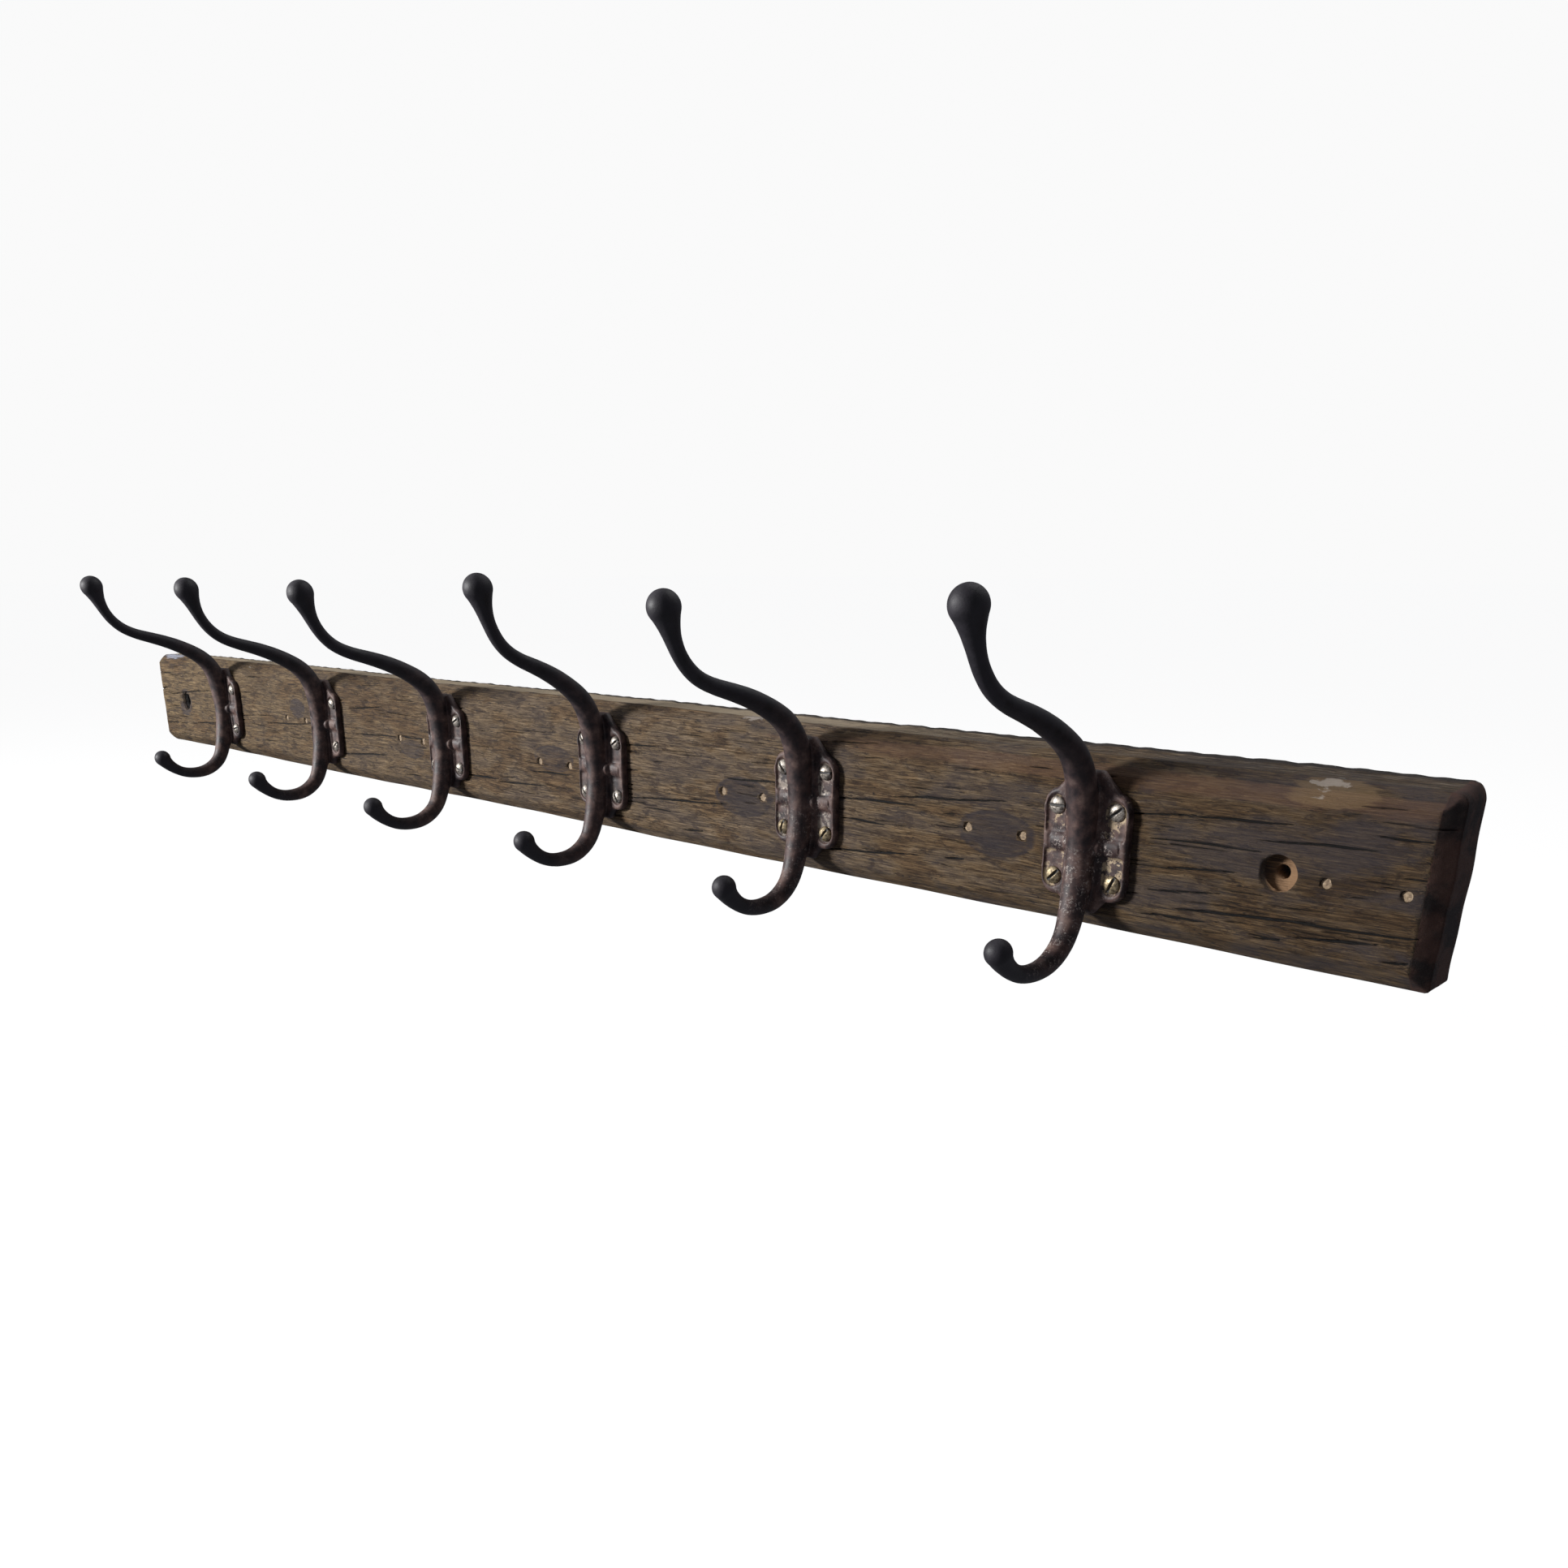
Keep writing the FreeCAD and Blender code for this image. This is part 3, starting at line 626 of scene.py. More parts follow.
def make_board_mesh(settings):
    """A closed block: a fine grid for the bevelled front, rings for the sides, one flat
    face for the back. Edges wander a little, corners are rounded, cracks are sunk in."""
    columns, rows, left, right, half = board_outline(settings)
    x, z = np.meshgrid(columns, rows, indexing="ij")
    bevel = settings.bevel / MM
    # The left corners have worn much rounder than the right ones.
    left_corner, right_corner = np.where(z > 0, 10.0, 7.5), np.where(z > 0, 4.5, 1.6)
    corner = np.where(x > 0, right_corner, left_corner)
    past = np.clip(np.abs(z) - (half - corner), 0, corner)
    inset = corner - np.sqrt(corner**2 - past**2)
    lean = END_LEAN * z / half
    near_right = smooth_step(right - 30, right, x)
    near_left = 1 - smooth_step(left, left + 30, x)
    x = x + near_left * inset - near_right * inset + near_right * lean
    to_end = np.minimum(x - (left + inset), (right + lean - inset) - x)
    edge = np.minimum(to_end, half - np.abs(z))
    y = -BOARD_FACE + np.clip(bevel - edge, 0, bevel)
    # The bevel's inner arris is worn round.
    y += 0.35 * np.exp(-(((edge - bevel) / 1.6) ** 2))

    # Old edges are not ruled: slow waves along the top, bottom and ends.
    top = 0.25 * np.sin(x / 61 + 0.5) + 0.1 * np.sin(x / 13.7) + 0.08 * np.sin(x / 3.3 + 2)
    bottom = 0.3 * np.sin(x / 57 + 2) + 0.1 * np.sin(x / 11.1 + 1)
    weight = (np.abs(z) / half) ** 6
    z = z + weight * np.where(z > 0, top - 0.2, bottom + 0.2)
    side = 0.25 * np.sin(z / 9 + 1) + 0.15 * np.sin(z / 3.7)
    x = x + (near_right**4 - near_left**4) * (side - 0.15)
    crack = crack_marks(x, z, left, right, half, settings.hair_cracks)
    y = y + crack * (settings.crack_depth / MM) * np.clip(edge / 3, 0, 1)

    places = np.stack([x, y, z], axis=-1).reshape(-1, 3)
    index = np.arange(x.size).reshape(x.shape)
    corners = [index[:-1, :-1], index[1:, :-1], index[1:, 1:], index[:-1, 1:]]
    faces = np.stack(corners, axis=-1).reshape(-1, 4).tolist()
    border = np.concatenate([index[:, 0], index[-1, 1:], index[-2::-1, -1], index[0, -2:0:-1]])
    rim = places[border]
    steps = settings.side_rings
    on_top = smooth_step(half - 4, half, rim[:, 2])
    rise = settings.top_rise / MM * smooth_step(-300, 480, rim[:, 0])
    ragged = np.sin(rim[:, 0] / 1.9) * np.sin(rim[:, 0] / 6.7 + 1)
    rings = []
    for step in range(1, steps + 1):
        share = step / steps
        ring = rim.copy()
        ring[:, 1] = rim[:, 1] * (1 - share)
        ring[:, 2] += on_top * (rise + 0.25 * ragged) * share**3
        rings.append(ring)
    # One more ring on the back keeps the dark line painted along the top back arris, painted
    # shade, from spreading over it.
    back = rings[-1].copy()
    back[:, 0] -= BACK_MARGIN * np.sign(back[:, 0])
    back[:, 2] *= 1 - BACK_MARGIN / half
    rings.append(back)
    inner = border
    for number in range(len(rings)):
        outer = np.arange(len(border)) + len(places) + number * len(border)
        quads = [inner, outer, np.roll(outer, -1), np.roll(inner, -1)]
        faces.extend(np.stack(quads, axis=-1).tolist())
        inner = outer
    faces.append(inner[::-1].tolist())

    mesh = bpy.data.meshes.new("board_timber")
    everything = np.concatenate([places] + rings) * MM
    mesh.from_pydata(everything.tolist(), [], faces)
    ring_share = np.zeros(len(everything))
    ring_share[len(places) :] = np.repeat(np.arange(1, steps + 2) / steps, len(border))
    padding = np.zeros(len(everything) - len(places))
    # The crack depths also go to the material, which paints the cracks near-black as shade.
    store(mesh, "crack", np.concatenate([crack.ravel(), padding]))
    paint_marks(mesh, *(everything[:, ::2] / MM).T, ring_share, right, half)
    mesh.update()
    return mesh


def paint_marks(mesh, x, z, ring_share, right, half):
    """The board's stains and patches, and the painted shade and light on it, each an attribute
    from
    0 to 1. A ring's share is 0 on the front, 1 at the back arris, and more on the back itself."""
    front = (ring_share == 0) * 1.0
    stain = np.zeros_like(x)
    for *place, strength in STAINS:
        mark = oval(x, z, *place)
        rim = np.exp(-(((oval_reach(x, z, *place) - 0.93) / 0.08) ** 2))
        stain = np.maximum(stain, strength * (0.7 * mark + 0.45 * rim * (mark > 0)))
    # A darker oval a few millimetres wider than each plate: painted shade round the plate.
    for hook_x in HOOK_X:
        stain = np.maximum(stain, 0.5 * oval(x, z, hook_x, 0, 25, 29, 0.2))
    store(mesh, "stain", stain * front)
    top_band = smooth_step(half - 14, half - 7, z) * (1 - smooth_step(half - 5, half - 2, z))
    store(mesh, "warm", 0.9 * top_band * smooth_step(100, 350, x) * front)
    ochre = np.maximum(oval(x, z, 468, 30, 17, 6, 0.5), 0.45 * oval(x, z, 488, -31, 16, 4))
    store(mesh, "ochre", ochre * front)
    ragged = 0.3 * np.sin(x * 0.9) + 0.4 * np.sin(x * 0.43 + z * 1.1)
    cream = np.maximum.reduce(
        [
            oval(x, z + ragged, 465, 33.2, 6, 1.5, 0.8),
            0.5 * oval(x + ragged, z, 463.5, 30.6, 3.5, 3, 0.8),
            0.6 * oval(x, z + ragged, 187, 34.2, 15, 0.9, 0.6),
            0.6 * oval(x, z + ragged, -340, 32, 8, 0.8, 0.6),
        ]
    )
    store(mesh, "cream", cream * (1 - smooth_step(0.0, 0.3, ring_share)))
    paint = oval(x, z + ragged, -478, 34.5, 19, 3.6, 0.6)
    store(mesh, "paint", paint * (1 - smooth_step(0.1, 0.5, ring_share)))
    on_top = (z > half - 2) * (ring_share <= 1)
    # The top face is painted paler, less so towards the right: painted light from above.
    strip = smooth_step(0.0, 0.15, ring_share) * on_top
    store(mesh, "top_strip", strip * (0.8 - 0.5 * smooth_step(150, 400, x)))
    # A dark line along the top back arris: painted shade where the board meets the wall.
    store(mesh, "rim", smooth_step(0.7, 0.97, ring_share) * on_top)
    upright = x - END_LEAN * z / half + ragged * 0.3
    past_arris = smooth_step(right - 6.4, right - 5.9, upright) * (ring_share <= 1)
    # The end and its bevel: end grain, darkened as painted shade of the end facing away from the
    # light.
    store(mesh, "end_grain", past_arris)
    store(mesh, "end_dirt", 0.42 * past_arris)


def mark_cut_faces(mesh):
    """Paler wood inside the right wall hole, where the drill cut below the weathered skin; its
    lower right side, where the light falls, is painted paler still as painted light.
    """
    x, y, z = vertex_places(mesh).T
    # The back's own rim is left out, or its large faces would carry the marks right across.
    in_front = y < -1
    depth = smooth_step(-BOARD_FACE + 0.6, -BOARD_FACE + 1.6, y) * in_front
    # Paler towards the lower right of the bore, the side the light falls on: painted light.
    lit_side = smooth_step(-6, 3, (x - WALL_HOLE_X) - 0.7 * z)
    in_bore = (np.hypot(x - WALL_HOLE_X, z) < 8.2) & (y < -19)
    store(mesh, "fresh", depth * in_bore * (0.35 + 0.65 * lit_side))
    # The left hole was broken through long ago and has a dark halo of old staining round it.
    # Its inside is painted near-black: painted shade in the hole.
    old = np.hypot(x + WALL_HOLE_X, z)
    store(mesh, "crack", np.maximum(stored(mesh, "crack"), depth * (old < 8.6)))
    halo = (1 - smooth_step(8.5, 11.5, old)) * 0.55 * in_front
    store(mesh, "stain", np.maximum(stored(mesh, "stain"), halo))


def relief_tree(material):
    """Weathering: soft early wood is worn lower than the hard lines of the grain."""
    sizes = {
        "Ridge height": 0.35 * MM,
        "Ridges per metre": 240.0,
        "Ridge stretch": 14.0,
        "Wear height": 0.5 * MM,
        "Wear per metre": 60.0,
    }
    tree, add, start = new_tree("weathered board relief", sizes)
    stretch = add("Math", (1.0, start["Ridge stretch"]), operation="DIVIDE")
    scale = add("CombineXYZ", {"X": stretch, "Y": 1.0, "Z": 1.0})
    place = add("GeometryNodeInputPosition")
    along = add("VectorMath", (place, scale), operation="MULTIPLY")
    # The back stays flat against the wall.
    axes = add("SeparateXYZ", (place,))
    proud = add("FunctionNodeCompare", (axes.outputs["Y"], -1 * MM), operation="LESS_THAN")
    lumps = (
        (start["Ridges per metre"], 3.0, 0.5, start["Ridge height"]),
        (start["Wear per metre"], 2.0, 0.5, start["Wear height"]),
    )
    return close_tree(tree, add, push_out(add, start["Geometry"], along, lumps, proud), material)


def add_cutter(work, middle_x, middle_z, radius, depths, sides, ragged=0.0, seed=0.0):
    """A closed drum, slightly ragged if asked, that cuts one hole between two depths."""
    ends = ([], [])
    for step in range(sides):
        turn = 2 * math.pi * step / sides
        wobble = math.sin(3 * turn + seed) + 0.6 * math.sin(7 * turn + 2 * seed)
        reach = radius * (1 + ragged * wobble)
        x, z = middle_x + reach * math.cos(turn), middle_z + reach * math.sin(turn)
        for end, depth in zip(ends, depths):
            end.append((x * MM, -depth * MM, z * MM))
    outer, inner = ([work.verts.new(place) for place in end] for end in ends)
    work.faces.new(outer)
    work.faces.new(inner[::-1])
    for step in range(sides):
        after = (step + 1) % sides
        work.faces.new((outer[after], outer[step], inner[step], inner[after]))


def cut_holes(board, settings):
    """Drills the two counterbored wall holes and the blind holes of the older hooks."""
    spacing, bore, hole = (
        size / MM for size in (settings.wall_hole_spacing, settings.bore, settings.wall_hole)
    )
    work = bmesh.new()
    # The left counterbore is broken out all round, and the right one is a clean cut. Depths
    # are distances from the wall, from in front of the board to the hole's floor.
    for side, ragged in ((-1, 0.09), (1, 0.012)):
        add_cutter(work, side * spacing / 2, 0, bore / 2, (30, 19.6), 64, ragged, 1.0)
    keep_cut(board, work)
    work = bmesh.new()
    for side in (-1, 1):
        add_cutter(work, side * spacing / 2, 0, hole / 2, (20, -2), 40)
    for number, (middle_x, middle_z) in enumerate(OLD_PAIRS):
        for side in (-1, 1):
            place = middle_x + side * OLD_SPACING / 2
            add_cutter(work, place, middle_z, 2.15, (30, 12), 28, 0.05, number + side)
    keep_cut(board, work)


def keep_cut(board, work):
    """Subtracts the cutters from the board."""
    bmesh.ops.recalc_face_normals(work, faces=work.faces)
    mesh = bmesh_to_mesh(work, "hole_cutters")
    cutter = new_piece("hole_cutters", mesh)
    cut = board.modifiers.new("holes", "BOOLEAN")
    cut.object = cutter
    cut.operation = "DIFFERENCE"
    cut.solver = "EXACT"
    keep_result(board)
    bpy.data.objects.remove(cutter)
    bpy.data.meshes.remove(mesh)


def merged_copy(name, node):
    """A copy of a CAD node's mesh with its loose triangles joined up."""
    work = bmesh.new()
    work.from_mesh(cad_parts[node].data)
    bmesh.ops.remove_doubles(work, verts=work.verts, dist=1e-6)
    return new_piece(name, bmesh_to_mesh(work, name))


def casting_tree(material):
    """A sand casting's skin: inner corners run full, edges are soft, the face is lumpy."""
    sizes = {
        "Softening": 3,
        "Lump height": 0.16 * MM,
        "Lumps per metre": 160.0,
        "Sand height": 0.07 * MM,
        "Sand per metre": 650.0,
    }
    tree, add, start = new_tree("sand cast skin", sizes)
    place = add("GeometryNodeInputPosition")
    soft = add(
        "GeometryNodeBlurAttribute", {"Iterations": start["Softening"]}, data_type="FLOAT_VECTOR"
    )
    vector_in, vector_out = (
        next(socket for socket in sockets if socket.enabled and socket.type == "VECTOR")
        for sockets in (soft.inputs, soft.outputs)
    )
    tree.links.new(place.outputs[0], vector_in)
    eased = add("GeometryNodeSetPosition", {"Geometry": start["Geometry"], "Position": vector_out})
    lumps = (
        (start["Lumps per metre"], 2.0, 0.5, start["Lump height"]),
        (start["Sand per metre"], 2.0, 0.5, start["Sand height"]),
    )
    return close_tree(tree, add, push_out(add, eased, place, lumps), material)


# How far each casting has worn: bare metal in the sunk fields, how brassy it is, chips low
# on the stem.
HOOK_WEAR = [
    (0.1, 0.0, 0.15),
    (0.1, 0.0, 0.2),
    (0.12, 0.1, 0.2),
    (0.1, 0.2, 0.15),
    (0.6, 0.15, 0.45),
    (0.8, 0.7, 0.9),
]


def roll_plate_edge(places, x, out, z):
    """Rolls the plate's outer edge over, as a casting's is: the square corner between its
    face and its side is drawn into a quarter circle."""
    half_wide, half_high, corner_radius, roll = 19, 21.5, 6.5, 1.7
    thick = PLATE_FACE - BOARD_FACE
    across, up = np.abs(x), np.abs(z)
    over_x, over_z = across - (half_wide - corner_radius), up - (half_high - corner_radius)
    corner = np.hypot(np.maximum(over_x, 0), np.maximum(over_z, 0))
    past = np.where((over_x > 0) & (over_z > 0), corner, np.maximum(over_x, over_z))
    inside = corner_radius - past
    # The necks that run up and down the stem: half width at the plate, half at the tip, reach.
    for sign, wide, tip, reach in ((1, 13.5, 5.8, 29.5), (-1, 10.5, 5.5, 27.0)):
        height = sign * z
        slope = (wide - tip) / (reach - half_high)
        flank = (wide - slope * (height - half_high) - across) / math.hypot(1, slope)
        neck = np.minimum(np.minimum(flank, reach - height), height - 10)
        inside = np.maximum(inside, neck)
    u = np.clip(1 - inside / roll, 0, 1)
    v = np.clip((out - (thick - roll)) / roll, 0, 1)
    plate = 1 - smooth_step(thick + 0.3, thick + 1.2, out)
    new_u = u * np.sqrt(1 - v * v / 2)
    new_v = v * np.sqrt(1 - u * u / 2)
    places[:, 1] += plate * (v - new_v) * roll
    # Draw the side in towards the stem by as much as the roll takes away.
    pull = plate * (u - new_u) * roll
    length = np.maximum(np.hypot(x, z), 1)
    places[:, 0] -= pull * x / length
    places[:, 2] -= pull * z / length


def finish_casting(mesh, number):
    """Rolls one casting's plate edge, flattens its ribs, and marks where it is worn to
    brown, chipped, or rubbed through to bare metal."""
    places = vertex_places(mesh)
    x = places[:, 0] - HOOK_X[number - 1]
    out = -places[:, 1] - BOARD_FACE
    z = places[:, 2]
    roll_plate_edge(places, x, out, z)
    # The cross ribs sagged in the mould: they are flatter than a true cone.
    across, up = np.abs(x), np.abs(z)
    rib = smooth_step(7.5, 9, across) * (1 - smooth_step(15.5, 17, across))
    rib = rib * (1 - smooth_step(5.0, 6.5, up))
    places[:, 1] += rib * 0.5 * np.clip(out - 2.6, 0, 6)
    mesh.vertices.foreach_set("co", (places * MM).ravel())

    bare, gilt, chips = HOOK_WEAR[number - 1]
    low_arm = (1 - smooth_step(20, 44, out)) * (1 - 0.75 * smooth_step(10, 44, z))
    plate = 1 - smooth_step(3.8, 5.5, out)
    store(mesh, "wear", np.maximum(low_arm, plate))
    # The sunk fields lie round the screws.
    fields = (np.abs(across - SCREW_ACROSS) < 4.6) & (up > 2) & (up < 19)
    store(mesh, "bare", bare * (fields & (out > 1.5) & (out < 3.6)))
    store(mesh, "gilt", np.full(len(x), gilt))
    low_stem = (1 - smooth_step(-8, 4, z)) * smooth_step(-50, -38, z) * (out > 4.2) * (out < 44)
    rib_root = (across > 6) * (across < 13) * (up < 6.5)
    store(mesh, "chips", chips * np.maximum(0.8 * low_stem + 0.3 * plate, rib_root))


def screw_tree(name, material):
    """Round slotted wood screws, one on each point: a domed head, a slot marked for painted shade,
    a shank.
    """
    sizes = {
        "Head width": 7.3 * MM,
        "Head height": 2.4 * MM,
        "Slot width": 0.9 * MM,
        "Slot depth": 1.1 * MM,
        "Slot corner": 0.22 * MM,
        "Shank width": 3.5 * MM,
        "Shank length": 18 * MM,
    }
    tree, add, start = new_tree(name, sizes)
    place = add("GeometryNodeInputPosition")
    axes = add("SeparateXYZ", (place,))
    turn = add("GeometryNodeInputNamedAttribute", {"Name": "turn"}, data_type="FLOAT")

    # Sums in order: each names what it makes, from an operation on what is there already. A
    # square sheet is drawn out to a disc of radius 1, then lifted to the dome.
    sums = [("radius", "MULTIPLY", "Head width", 0.5)]
    for made, own, other in (("across", "X", "Y"), ("upward", "Y", "X")):
        sums += [
            ("square", "MULTIPLY", other, other),
            ("half square", "MULTIPLY", "square", 0.5),
            ("rest", "SUBTRACT", 1.0, "half square"),
            ("root", "SQRT", "rest"),
            (made, "MULTIPLY", own, "root"),
            (f"{made} squared", "MULTIPLY", made, made),
            (f"flat {made}", "MULTIPLY", made, "radius"),
        ]
    sums += [
        ("reach", "ADD", "across squared", "upward squared"),
        ("fall", "SUBTRACT", 1.0, "reach"),
        ("safe fall", "MAXIMUM", "fall", 0.0),
        ("curve", "SQRT", "safe fall"),
        ("dome", "MULTIPLY", "Head height", "curve"),
        ("slot floor", "SUBTRACT", "Head height", "Slot depth"),
        ("sunk", "MINIMUM", "dome", "slot floor"),
        ("half slot", "MULTIPLY", "Slot width", 0.5),
        ("from slot", "ABSOLUTE", "flat upward"),
        ("slot rim", "ADD", "half slot", "Slot corner"),
        # Read after the head has taken its shape: the painted shade stops inside the slot's
        # corner.
        ("from dirt", "ABSOLUTE", "Y"),
        ("dirty corner", "MULTIPLY", "Slot corner", 0.8),
        ("dirt rim", "ADD", "half slot", "dirty corner"),
        ("shank radius", "MULTIPLY", "Shank width", 0.5),
        ("drop", "MULTIPLY", "Shank length", -1.0),
        ("facing", "MULTIPLY", "turn", -1.0),
    ]
    known = {socket.name: socket for socket in (*start, *axes.outputs)}
    known["turn"] = turn.outputs["Attribute"]
    for made, operation, *values in sums:
        fills = [known.get(value, value) for value in values]
        known[made] = add("Math", fills, operation=operation)
    wall, dirt = (
        add(
            "MapRange",
            (known[side], known["half slot"], known[rim], 1.0, 0.0),
            interpolation_type=ease,
        )
        for side, rim, ease in (
            ("from slot", "slot rim", "SMOOTHSTEP"),
            ("from dirt", "dirt rim", "LINEAR"),
        )
    )
    lifted = add(
        "Mix", {0: wall, NUMBER_A: known["dome"], NUMBER_B: known["sunk"]}, data_type="FLOAT"
    )
    sheet = add(
        "GeometryNodeMeshGrid", {"Size X": 2.0, "Size Y": 2.0, "Vertices X": 41, "Vertices Y": 57}
    )
    underside = add("GeometryNodeFlipFaces", (sheet,))
    skins = []
    for skin, height in ((sheet, lifted), (underside, 0.0)):
        spot = add(
            "CombineXYZ", {"X": known["flat across"], "Y": known["flat upward"], "Z": height}
        )
        skins.append(add("GeometryNodeSetPosition", {"Geometry": skin, "Position": spot}))
    shell = add("GeometryNodeJoinGeometry", (skins,))
    closed = add("GeometryNodeMergeByDistance", {"Geometry": shell, "Distance": 1e-6})
    # Marks the slot for the painted shade that the material puts in it.
    slot_shaded = add(
        "GeometryNodeStoreNamedAttribute",
        {"Geometry": closed, "Name": "dirt", "Value": dirt},
        data_type="FLOAT",
        domain="POINT",
    )
    shank = add(
        "GeometryNodeMeshCone",
        {"Vertices": 20, "Side Segments": 1, "Radius Top": known["shank radius"],
         "Radius Bottom": 0.1 * MM, "Depth": start["Shank length"]},
    )
    drop = add("CombineXYZ", {"Z": known["drop"]})
    lowered = add("GeometryNodeTransform", {"Geometry": shank, "Translation": drop})
    screw = add("GeometryNodeJoinGeometry", ([slot_shaded, lowered],))
    facing = add("CombineXYZ", {"X": math.radians(90), "Y": known["facing"]})
    placed = add(
        "GeometryNodeInstanceOnPoints",
        {"Points": start["Geometry"], "Instance": screw, "Rotation": facing},
    )
    return close_tree(tree, add, placed, material)


def plug_tree(material):
    """Plugs with rough broken faces, one on each point, sunk a little below the board."""
    sizes = {
        "Plug width": 4.0 * MM,
        "Plug length": 11.2 * MM,
        "Roughness": 0.5 * MM,
        "Lumps per metre": 900.0,
    }
    tree, add, start = new_tree("broken-off plugs", sizes)
    radius = add("Math", (start["Plug width"], 0.5), operation="MULTIPLY")
    peg = add(
        "GeometryNodeMeshCylinder",
        {"Vertices": 28, "Side Segments": 8, "Fill Segments": 7, "Radius": radius,
         "Depth": start["Plug length"]},
        fill_type="TRIANGLE_FAN",
    )
    turned = add("GeometryNodeTransform", {"Geometry": peg, "Rotation": (math.radians(90), 0, 0)})
    placed = add("GeometryNodeInstanceOnPoints", {"Points": start["Geometry"], "Instance": turned})
    real = add("GeometryNodeRealizeInstances", (placed,))
    place = add("GeometryNodeInputPosition")
    # The level above a half draws most of the surface in.
    lumps = [(start["Lumps per metre"], 2.0, 0.62, start["Roughness"])]
    return close_tree(tree, add, push_out(add, real, place, lumps), material)


def points_mesh(name, places, turns=None):
    """Loose points in millimetres, each with a turn in degrees if one is given."""
    mesh = bpy.data.meshes.new(name)
    mesh.from_pydata([tuple(v * MM for v in place) for place in places], [], [])
    if turns:
        store(mesh, "turn", [math.radians(turn) for turn in turns])
    return mesh


LENGTH = {"unit": "LENGTH", "precision": 4}
FACTOR = {"min": 0.0, "max": 1.0, "subtype": "FACTOR"}


class BoardSettings(bpy.types.PropertyGroup):
    """Sizes of the board's surface."""

    bevel: FloatProperty(
        name="Bevel", description="Bevel round the front face", default=6.5 * MM, **LENGTH
    )
    columns: IntProperty(
        name="Columns", description="Grid columns along the board", default=400, min=50
    )
    end_columns: IntProperty(
        name="End columns", description="Grid columns in each finer end", default=24, min=2
    )
    end_width: FloatProperty(
        name="End width", description="Length of each finer end", default=12 * MM, **LENGTH
    )
    rows: IntProperty(name="Rows", description="Grid rows up the face", default=172, min=20)
    side_rings: IntProperty(
        name="Side rings", description="Rings of faces round the thickness", default=9, min=2
    )
    hair_cracks: IntProperty(
        name="Hair cracks", description="Fine cracks beside the long ones", default=190, min=0
    )
    crack_depth: FloatProperty(
        name="Crack depth", description="Depth of the drying cracks", default=1.3 * MM, **LENGTH
    )
    top_rise: FloatProperty(
        name="Top rise", description="How far the ragged back arris of the top stands up",
        default=1.8 * MM, **LENGTH,
    )
    wall_hole_spacing: FloatProperty(
        name="Wall hole spacing", description="Between the two wall holes",
        default=2 * WALL_HOLE_X * MM, **LENGTH,
    )
    bore: FloatProperty(
        name="Counterbore", description="Counterbore's width", default=14 * MM, **LENGTH
    )
    wall_hole: FloatProperty(
        name="Wall hole", description="Wall hole's width", default=5.6 * MM, **LENGTH
    )
    wax: FloatProperty(
        name="Wax", description="Specular level of the waxed wood", default=0.32, **FACTOR
    )


class HookSettings(bpy.types.PropertyGroup):
    """The castings' skin."""

    voxel: FloatProperty(
        name="Voxel", description="Size of the casting's surface cells", default=0.5 * MM,
        unit="LENGTH", precision=5,
    )
    softening: IntProperty(
        name="Softening", description="Passes that round the edges", default=3, min=0
    )
    sheen: FloatProperty(
        name="Sheen", description="Specular level of the old paint", default=0.34, **FACTOR
    )


class StageSettings(bpy.types.PropertyGroup):
    """Floor, light and camera."""

    paper: FloatVectorProperty(
        name="Paper", description="Colour of the floor", subtype="COLOR", size=4,
        default=(1.0, 1.0, 1.0, 1.0), min=0.0, max=1.0,
    )
    key_power: FloatProperty(
        name="Key power", description="Power of the main light", default=126.0, unit="POWER"
    )
    fill_power: FloatProperty(
        name="Fill power", description="Power of the soft light at the left", default=6.0,
        unit="POWER",
    )
    back_power: FloatProperty(
        name="Back power", description="Power of the soft light above and behind",
        default=14.0, unit="POWER",
    )
    lens: FloatProperty(name="Lens", description="Focal length", default=30.53, unit="CAMERA")


class OBJECT_OT_rack_board(bpy.types.Operator):
    """Build the weathered board with its cracks, stains and holes"""

    bl_idname = "object.rack_board"
    bl_label = "Board"

    def execute(self, context):
        settings = context.scene.rack_board
        board = new_piece("board_timber", make_board_mesh(settings))
        run_tree(board, relief_tree(weathered_oak(settings)), {})
        cut_holes(board, settings)
        mark_cut_faces(board.data)
        hand_over(board, "reclaimed_oak", "board")
        # The back is flat: smoothed, its few large faces would shade like a bent sheet.
        for face in board.data.polygons:
            face.use_smooth = face.normal.y < 0.99
        return {"FINISHED"}


class OBJECT_OT_rack_hooks(bpy.types.Operator):
    """Build the six cast hooks"""

    bl_idname = "object.rack_hooks"
    bl_label = "Hooks"

    def execute(self, context):
        settings = context.scene.rack_hooks
        tree = casting_tree(painted_iron(settings))
        for number in range(1, len(HOOK_X) + 1):
            node = f"hook_{number}"
            hook = merged_copy(f"hook_{number}_casting", node)
            skin = hook.modifiers.new("skin", "REMESH")
            skin.mode = "VOXEL"
            skin.voxel_size = settings.voxel
            keep_result(hook)
            run_tree(hook, tree, {"Softening": settings.softening})
            finish_casting(hook.data, number)
            hand_over(hook, "cast_iron", node)
        return {"FINISHED"}


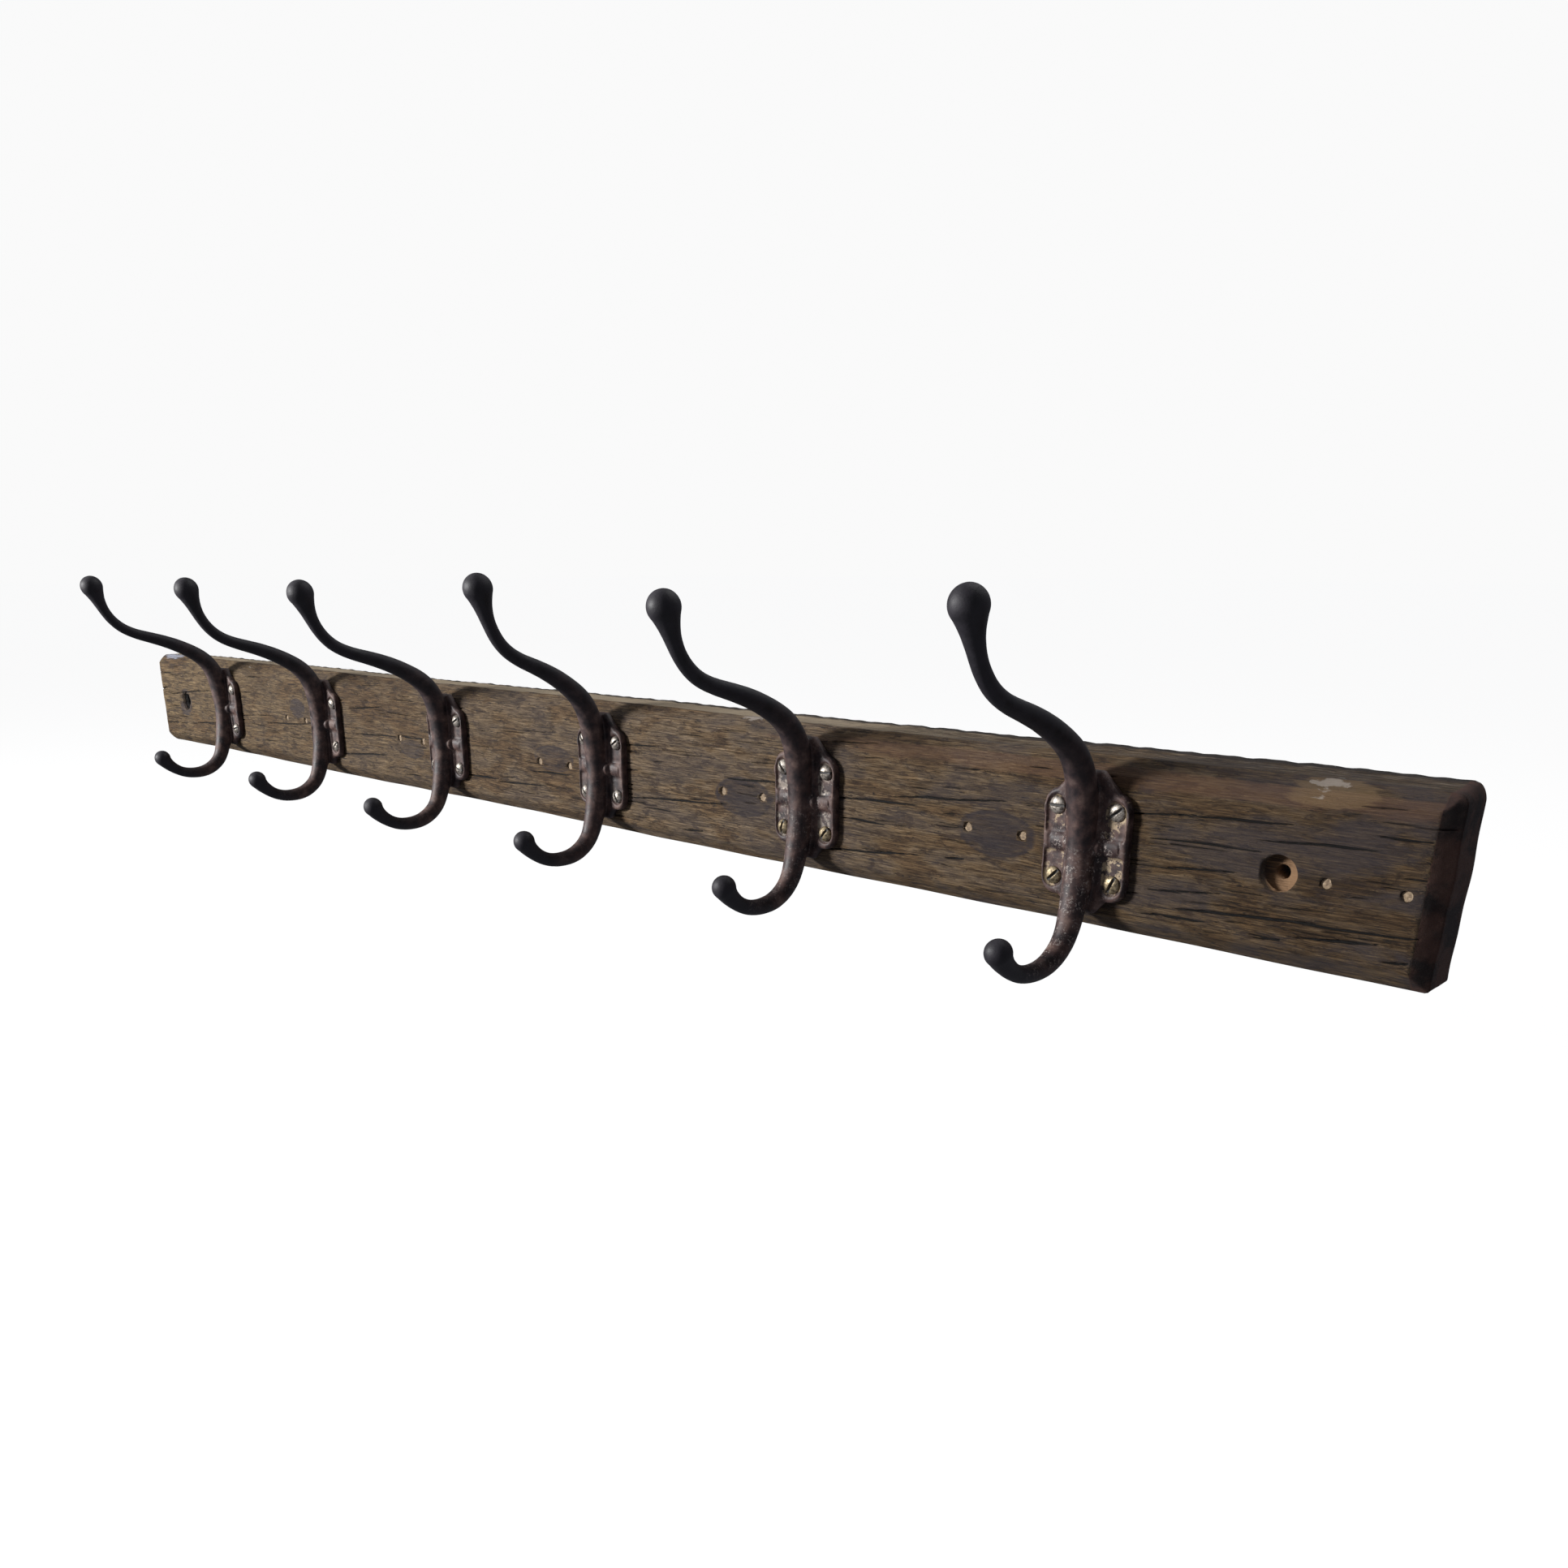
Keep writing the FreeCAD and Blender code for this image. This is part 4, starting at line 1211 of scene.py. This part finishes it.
class OBJECT_OT_rack_screws(bpy.types.Operator):
    """Build the slotted wood screws, steel and brass"""

    bl_idname = "object.rack_screws"
    bl_label = "Screws"

    def execute(self, context):
        steel = rubbed_metal("dulled_turned_steel", "aea69c", "58524c", 0.46)
        brass = rubbed_metal("rubbed_turned_brass", "a39376", "504637", 0.45)
        kinds = (
            ("steel", screw_tree("steel screws", steel), "zinc_steel"),
            ("brass", screw_tree("brass screws", brass), "brass"),
        )
        corners = ((-1, 1), (1, 1), (-1, -1), (1, -1))
        for hook, (hook_x, head, turns) in enumerate(zip(HOOK_X, SCREW_HEADS, SLOT_TURNS), 1):
            for kind, tree, slot in kinds:
                node = f"hook_{hook}_{kind}_screws"
                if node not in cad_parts:
                    continue
                # A node with only the upper or the lower pair has its middle off the hook's.
                low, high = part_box(node)
                middle = (low.z + high.z) / 2
                chosen = [
                    ((hook_x + SCREW_ACROSS * across, -SCREW_SEAT, SCREW_UP * up), turn)
                    for (across, up), turn in zip(corners, turns)
                    if abs(middle) < 1 * MM or up * middle > 0
                ]
                piece = new_piece(node + "_slotted", points_mesh(node, *zip(*chosen)))
                run_tree(piece, tree, {"Head height": head * MM})
                hand_over(piece, slot, node)
        return {"FINISHED"}


class OBJECT_OT_rack_plugs(bpy.types.Operator):
    """Build the plugs in the old screw holes"""

    bl_idname = "object.rack_plugs"
    bl_label = "Plugs"

    def execute(self, context):
        tree = plug_tree(plug_wood())
        for number, (middle_x, middle_z) in enumerate(OLD_PAIRS, start=1):
            node = f"old_hole_plugs_{number}"
            low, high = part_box(node)
            middle_y = (low.y + high.y) / 2 / MM
            places = [
                (middle_x + side * OLD_SPACING / 2, middle_y, middle_z) for side in (-1, 1)
            ]
            piece = new_piece(node + "_pegs", points_mesh(node, places))
            run_tree(piece, tree, {})
            hand_over(piece, "plug_wood", node)
        return {"FINISHED"}


class OBJECT_OT_rack_stage(bpy.types.Operator):
    """Set up the floor, the lights and the camera"""

    bl_idname = "object.rack_stage"
    bl_label = "Stage"

    def execute(self, context):
        settings = context.scene.rack_stage
        scene = context.scene
        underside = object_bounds()[0].z
        work = bmesh.new()
        bmesh.ops.create_grid(work, x_segments=2, y_segments=2, size=FLOOR_REACH)
        floor = new_piece("floor", bmesh_to_mesh(work, "floor"))
        floor.location = (0, 0, underside - FLOOR_DROP)
        floor.data.materials.append(matt_paper(tuple(settings.paper), 0.93))
        floor.visible_diffuse = False
        floor.visible_glossy = False
        floor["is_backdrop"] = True

        # The camera sees a pale backdrop, and the rack a dim cool one.
        world = bpy.data.worlds.new("studio")
        scene.world = world
        world.use_nodes = True
        world.node_tree.nodes.clear()
        add = partial(add_node, world.node_tree)
        ambient, seen = (
            add("Background", {"Color": colour, "Strength": strength})
            for colour, strength in (("e2e4ef", 0.24), ("ffffff", 0.955))
        )
        path = add("LightPath")
        both = add("MixShader", (path.outputs["Is Camera Ray"], ambient, seen))
        add("OutputWorld", {"Surface": both})

        for name, power, size, azimuth, elevation, distance in LIGHTS:
            light = bpy.data.lights.new(name, "AREA")
            light.shape = "DISK"
            light.size = size
            light.energy = getattr(settings, power)
            lamp = bpy.data.objects.new(name, light)
            scene.collection.objects.link(lamp)
            turn, rise = math.radians(azimuth), math.radians(elevation)
            level = math.cos(rise)
            away = Vector((math.sin(turn) * level, -math.cos(turn) * level, math.sin(rise)))
            lamp.location = away * distance
            lamp.rotation_euler = away.to_track_quat("Z", "Y").to_euler()
            lamp.visible_camera = False

        camera = bpy.data.cameras.new("camera")
        camera.lens = settings.lens
        camera.sensor_width = 36.0
        camera.shift_y = CAMERA_SHIFT
        camera.clip_start = 0.01
        view = bpy.data.objects.new("camera", camera)
        scene.collection.objects.link(view)
        view.location = CAMERA_PLACE
        view.rotation_euler = (math.radians(90 - CAMERA_DIP), 0.0, math.radians(CAMERA_TURN))
        scene.camera = view
        scene.view_settings.view_transform = "Standard"
        return {"FINISHED"}


class VIEW3D_PT_hook_rack(bpy.types.Panel):
    """Lists the rack's pieces"""

    bl_label = "Hook rack"
    bl_idname = "VIEW3D_PT_hook_rack"
    bl_space_type = "VIEW_3D"
    bl_region_type = "UI"
    bl_category = "Hook rack"

    def draw(self, context):
        column = self.layout.column()
        for operator in OPERATORS:
            column.operator(operator.bl_idname)


OPERATORS = (
    OBJECT_OT_rack_board,
    OBJECT_OT_rack_hooks,
    OBJECT_OT_rack_screws,
    OBJECT_OT_rack_plugs,
    OBJECT_OT_rack_stage,
)
CLASSES = (BoardSettings, HookSettings, StageSettings) + OPERATORS + (VIEW3D_PT_hook_rack,)


def register():
    for item in CLASSES:
        bpy.utils.register_class(item)
    bpy.types.Scene.rack_board = PointerProperty(type=BoardSettings)
    bpy.types.Scene.rack_hooks = PointerProperty(type=HookSettings)
    bpy.types.Scene.rack_stage = PointerProperty(type=StageSettings)


def unregister():
    del bpy.types.Scene.rack_stage
    del bpy.types.Scene.rack_hooks
    del bpy.types.Scene.rack_board
    for item in reversed(CLASSES):
        bpy.utils.unregister_class(item)


def main():
    register()
    bpy.ops.object.rack_board()
    bpy.ops.object.rack_hooks()
    bpy.ops.object.rack_screws()
    bpy.ops.object.rack_plugs()
    bpy.ops.object.rack_stage()


if __name__ == "__main__":
    main()
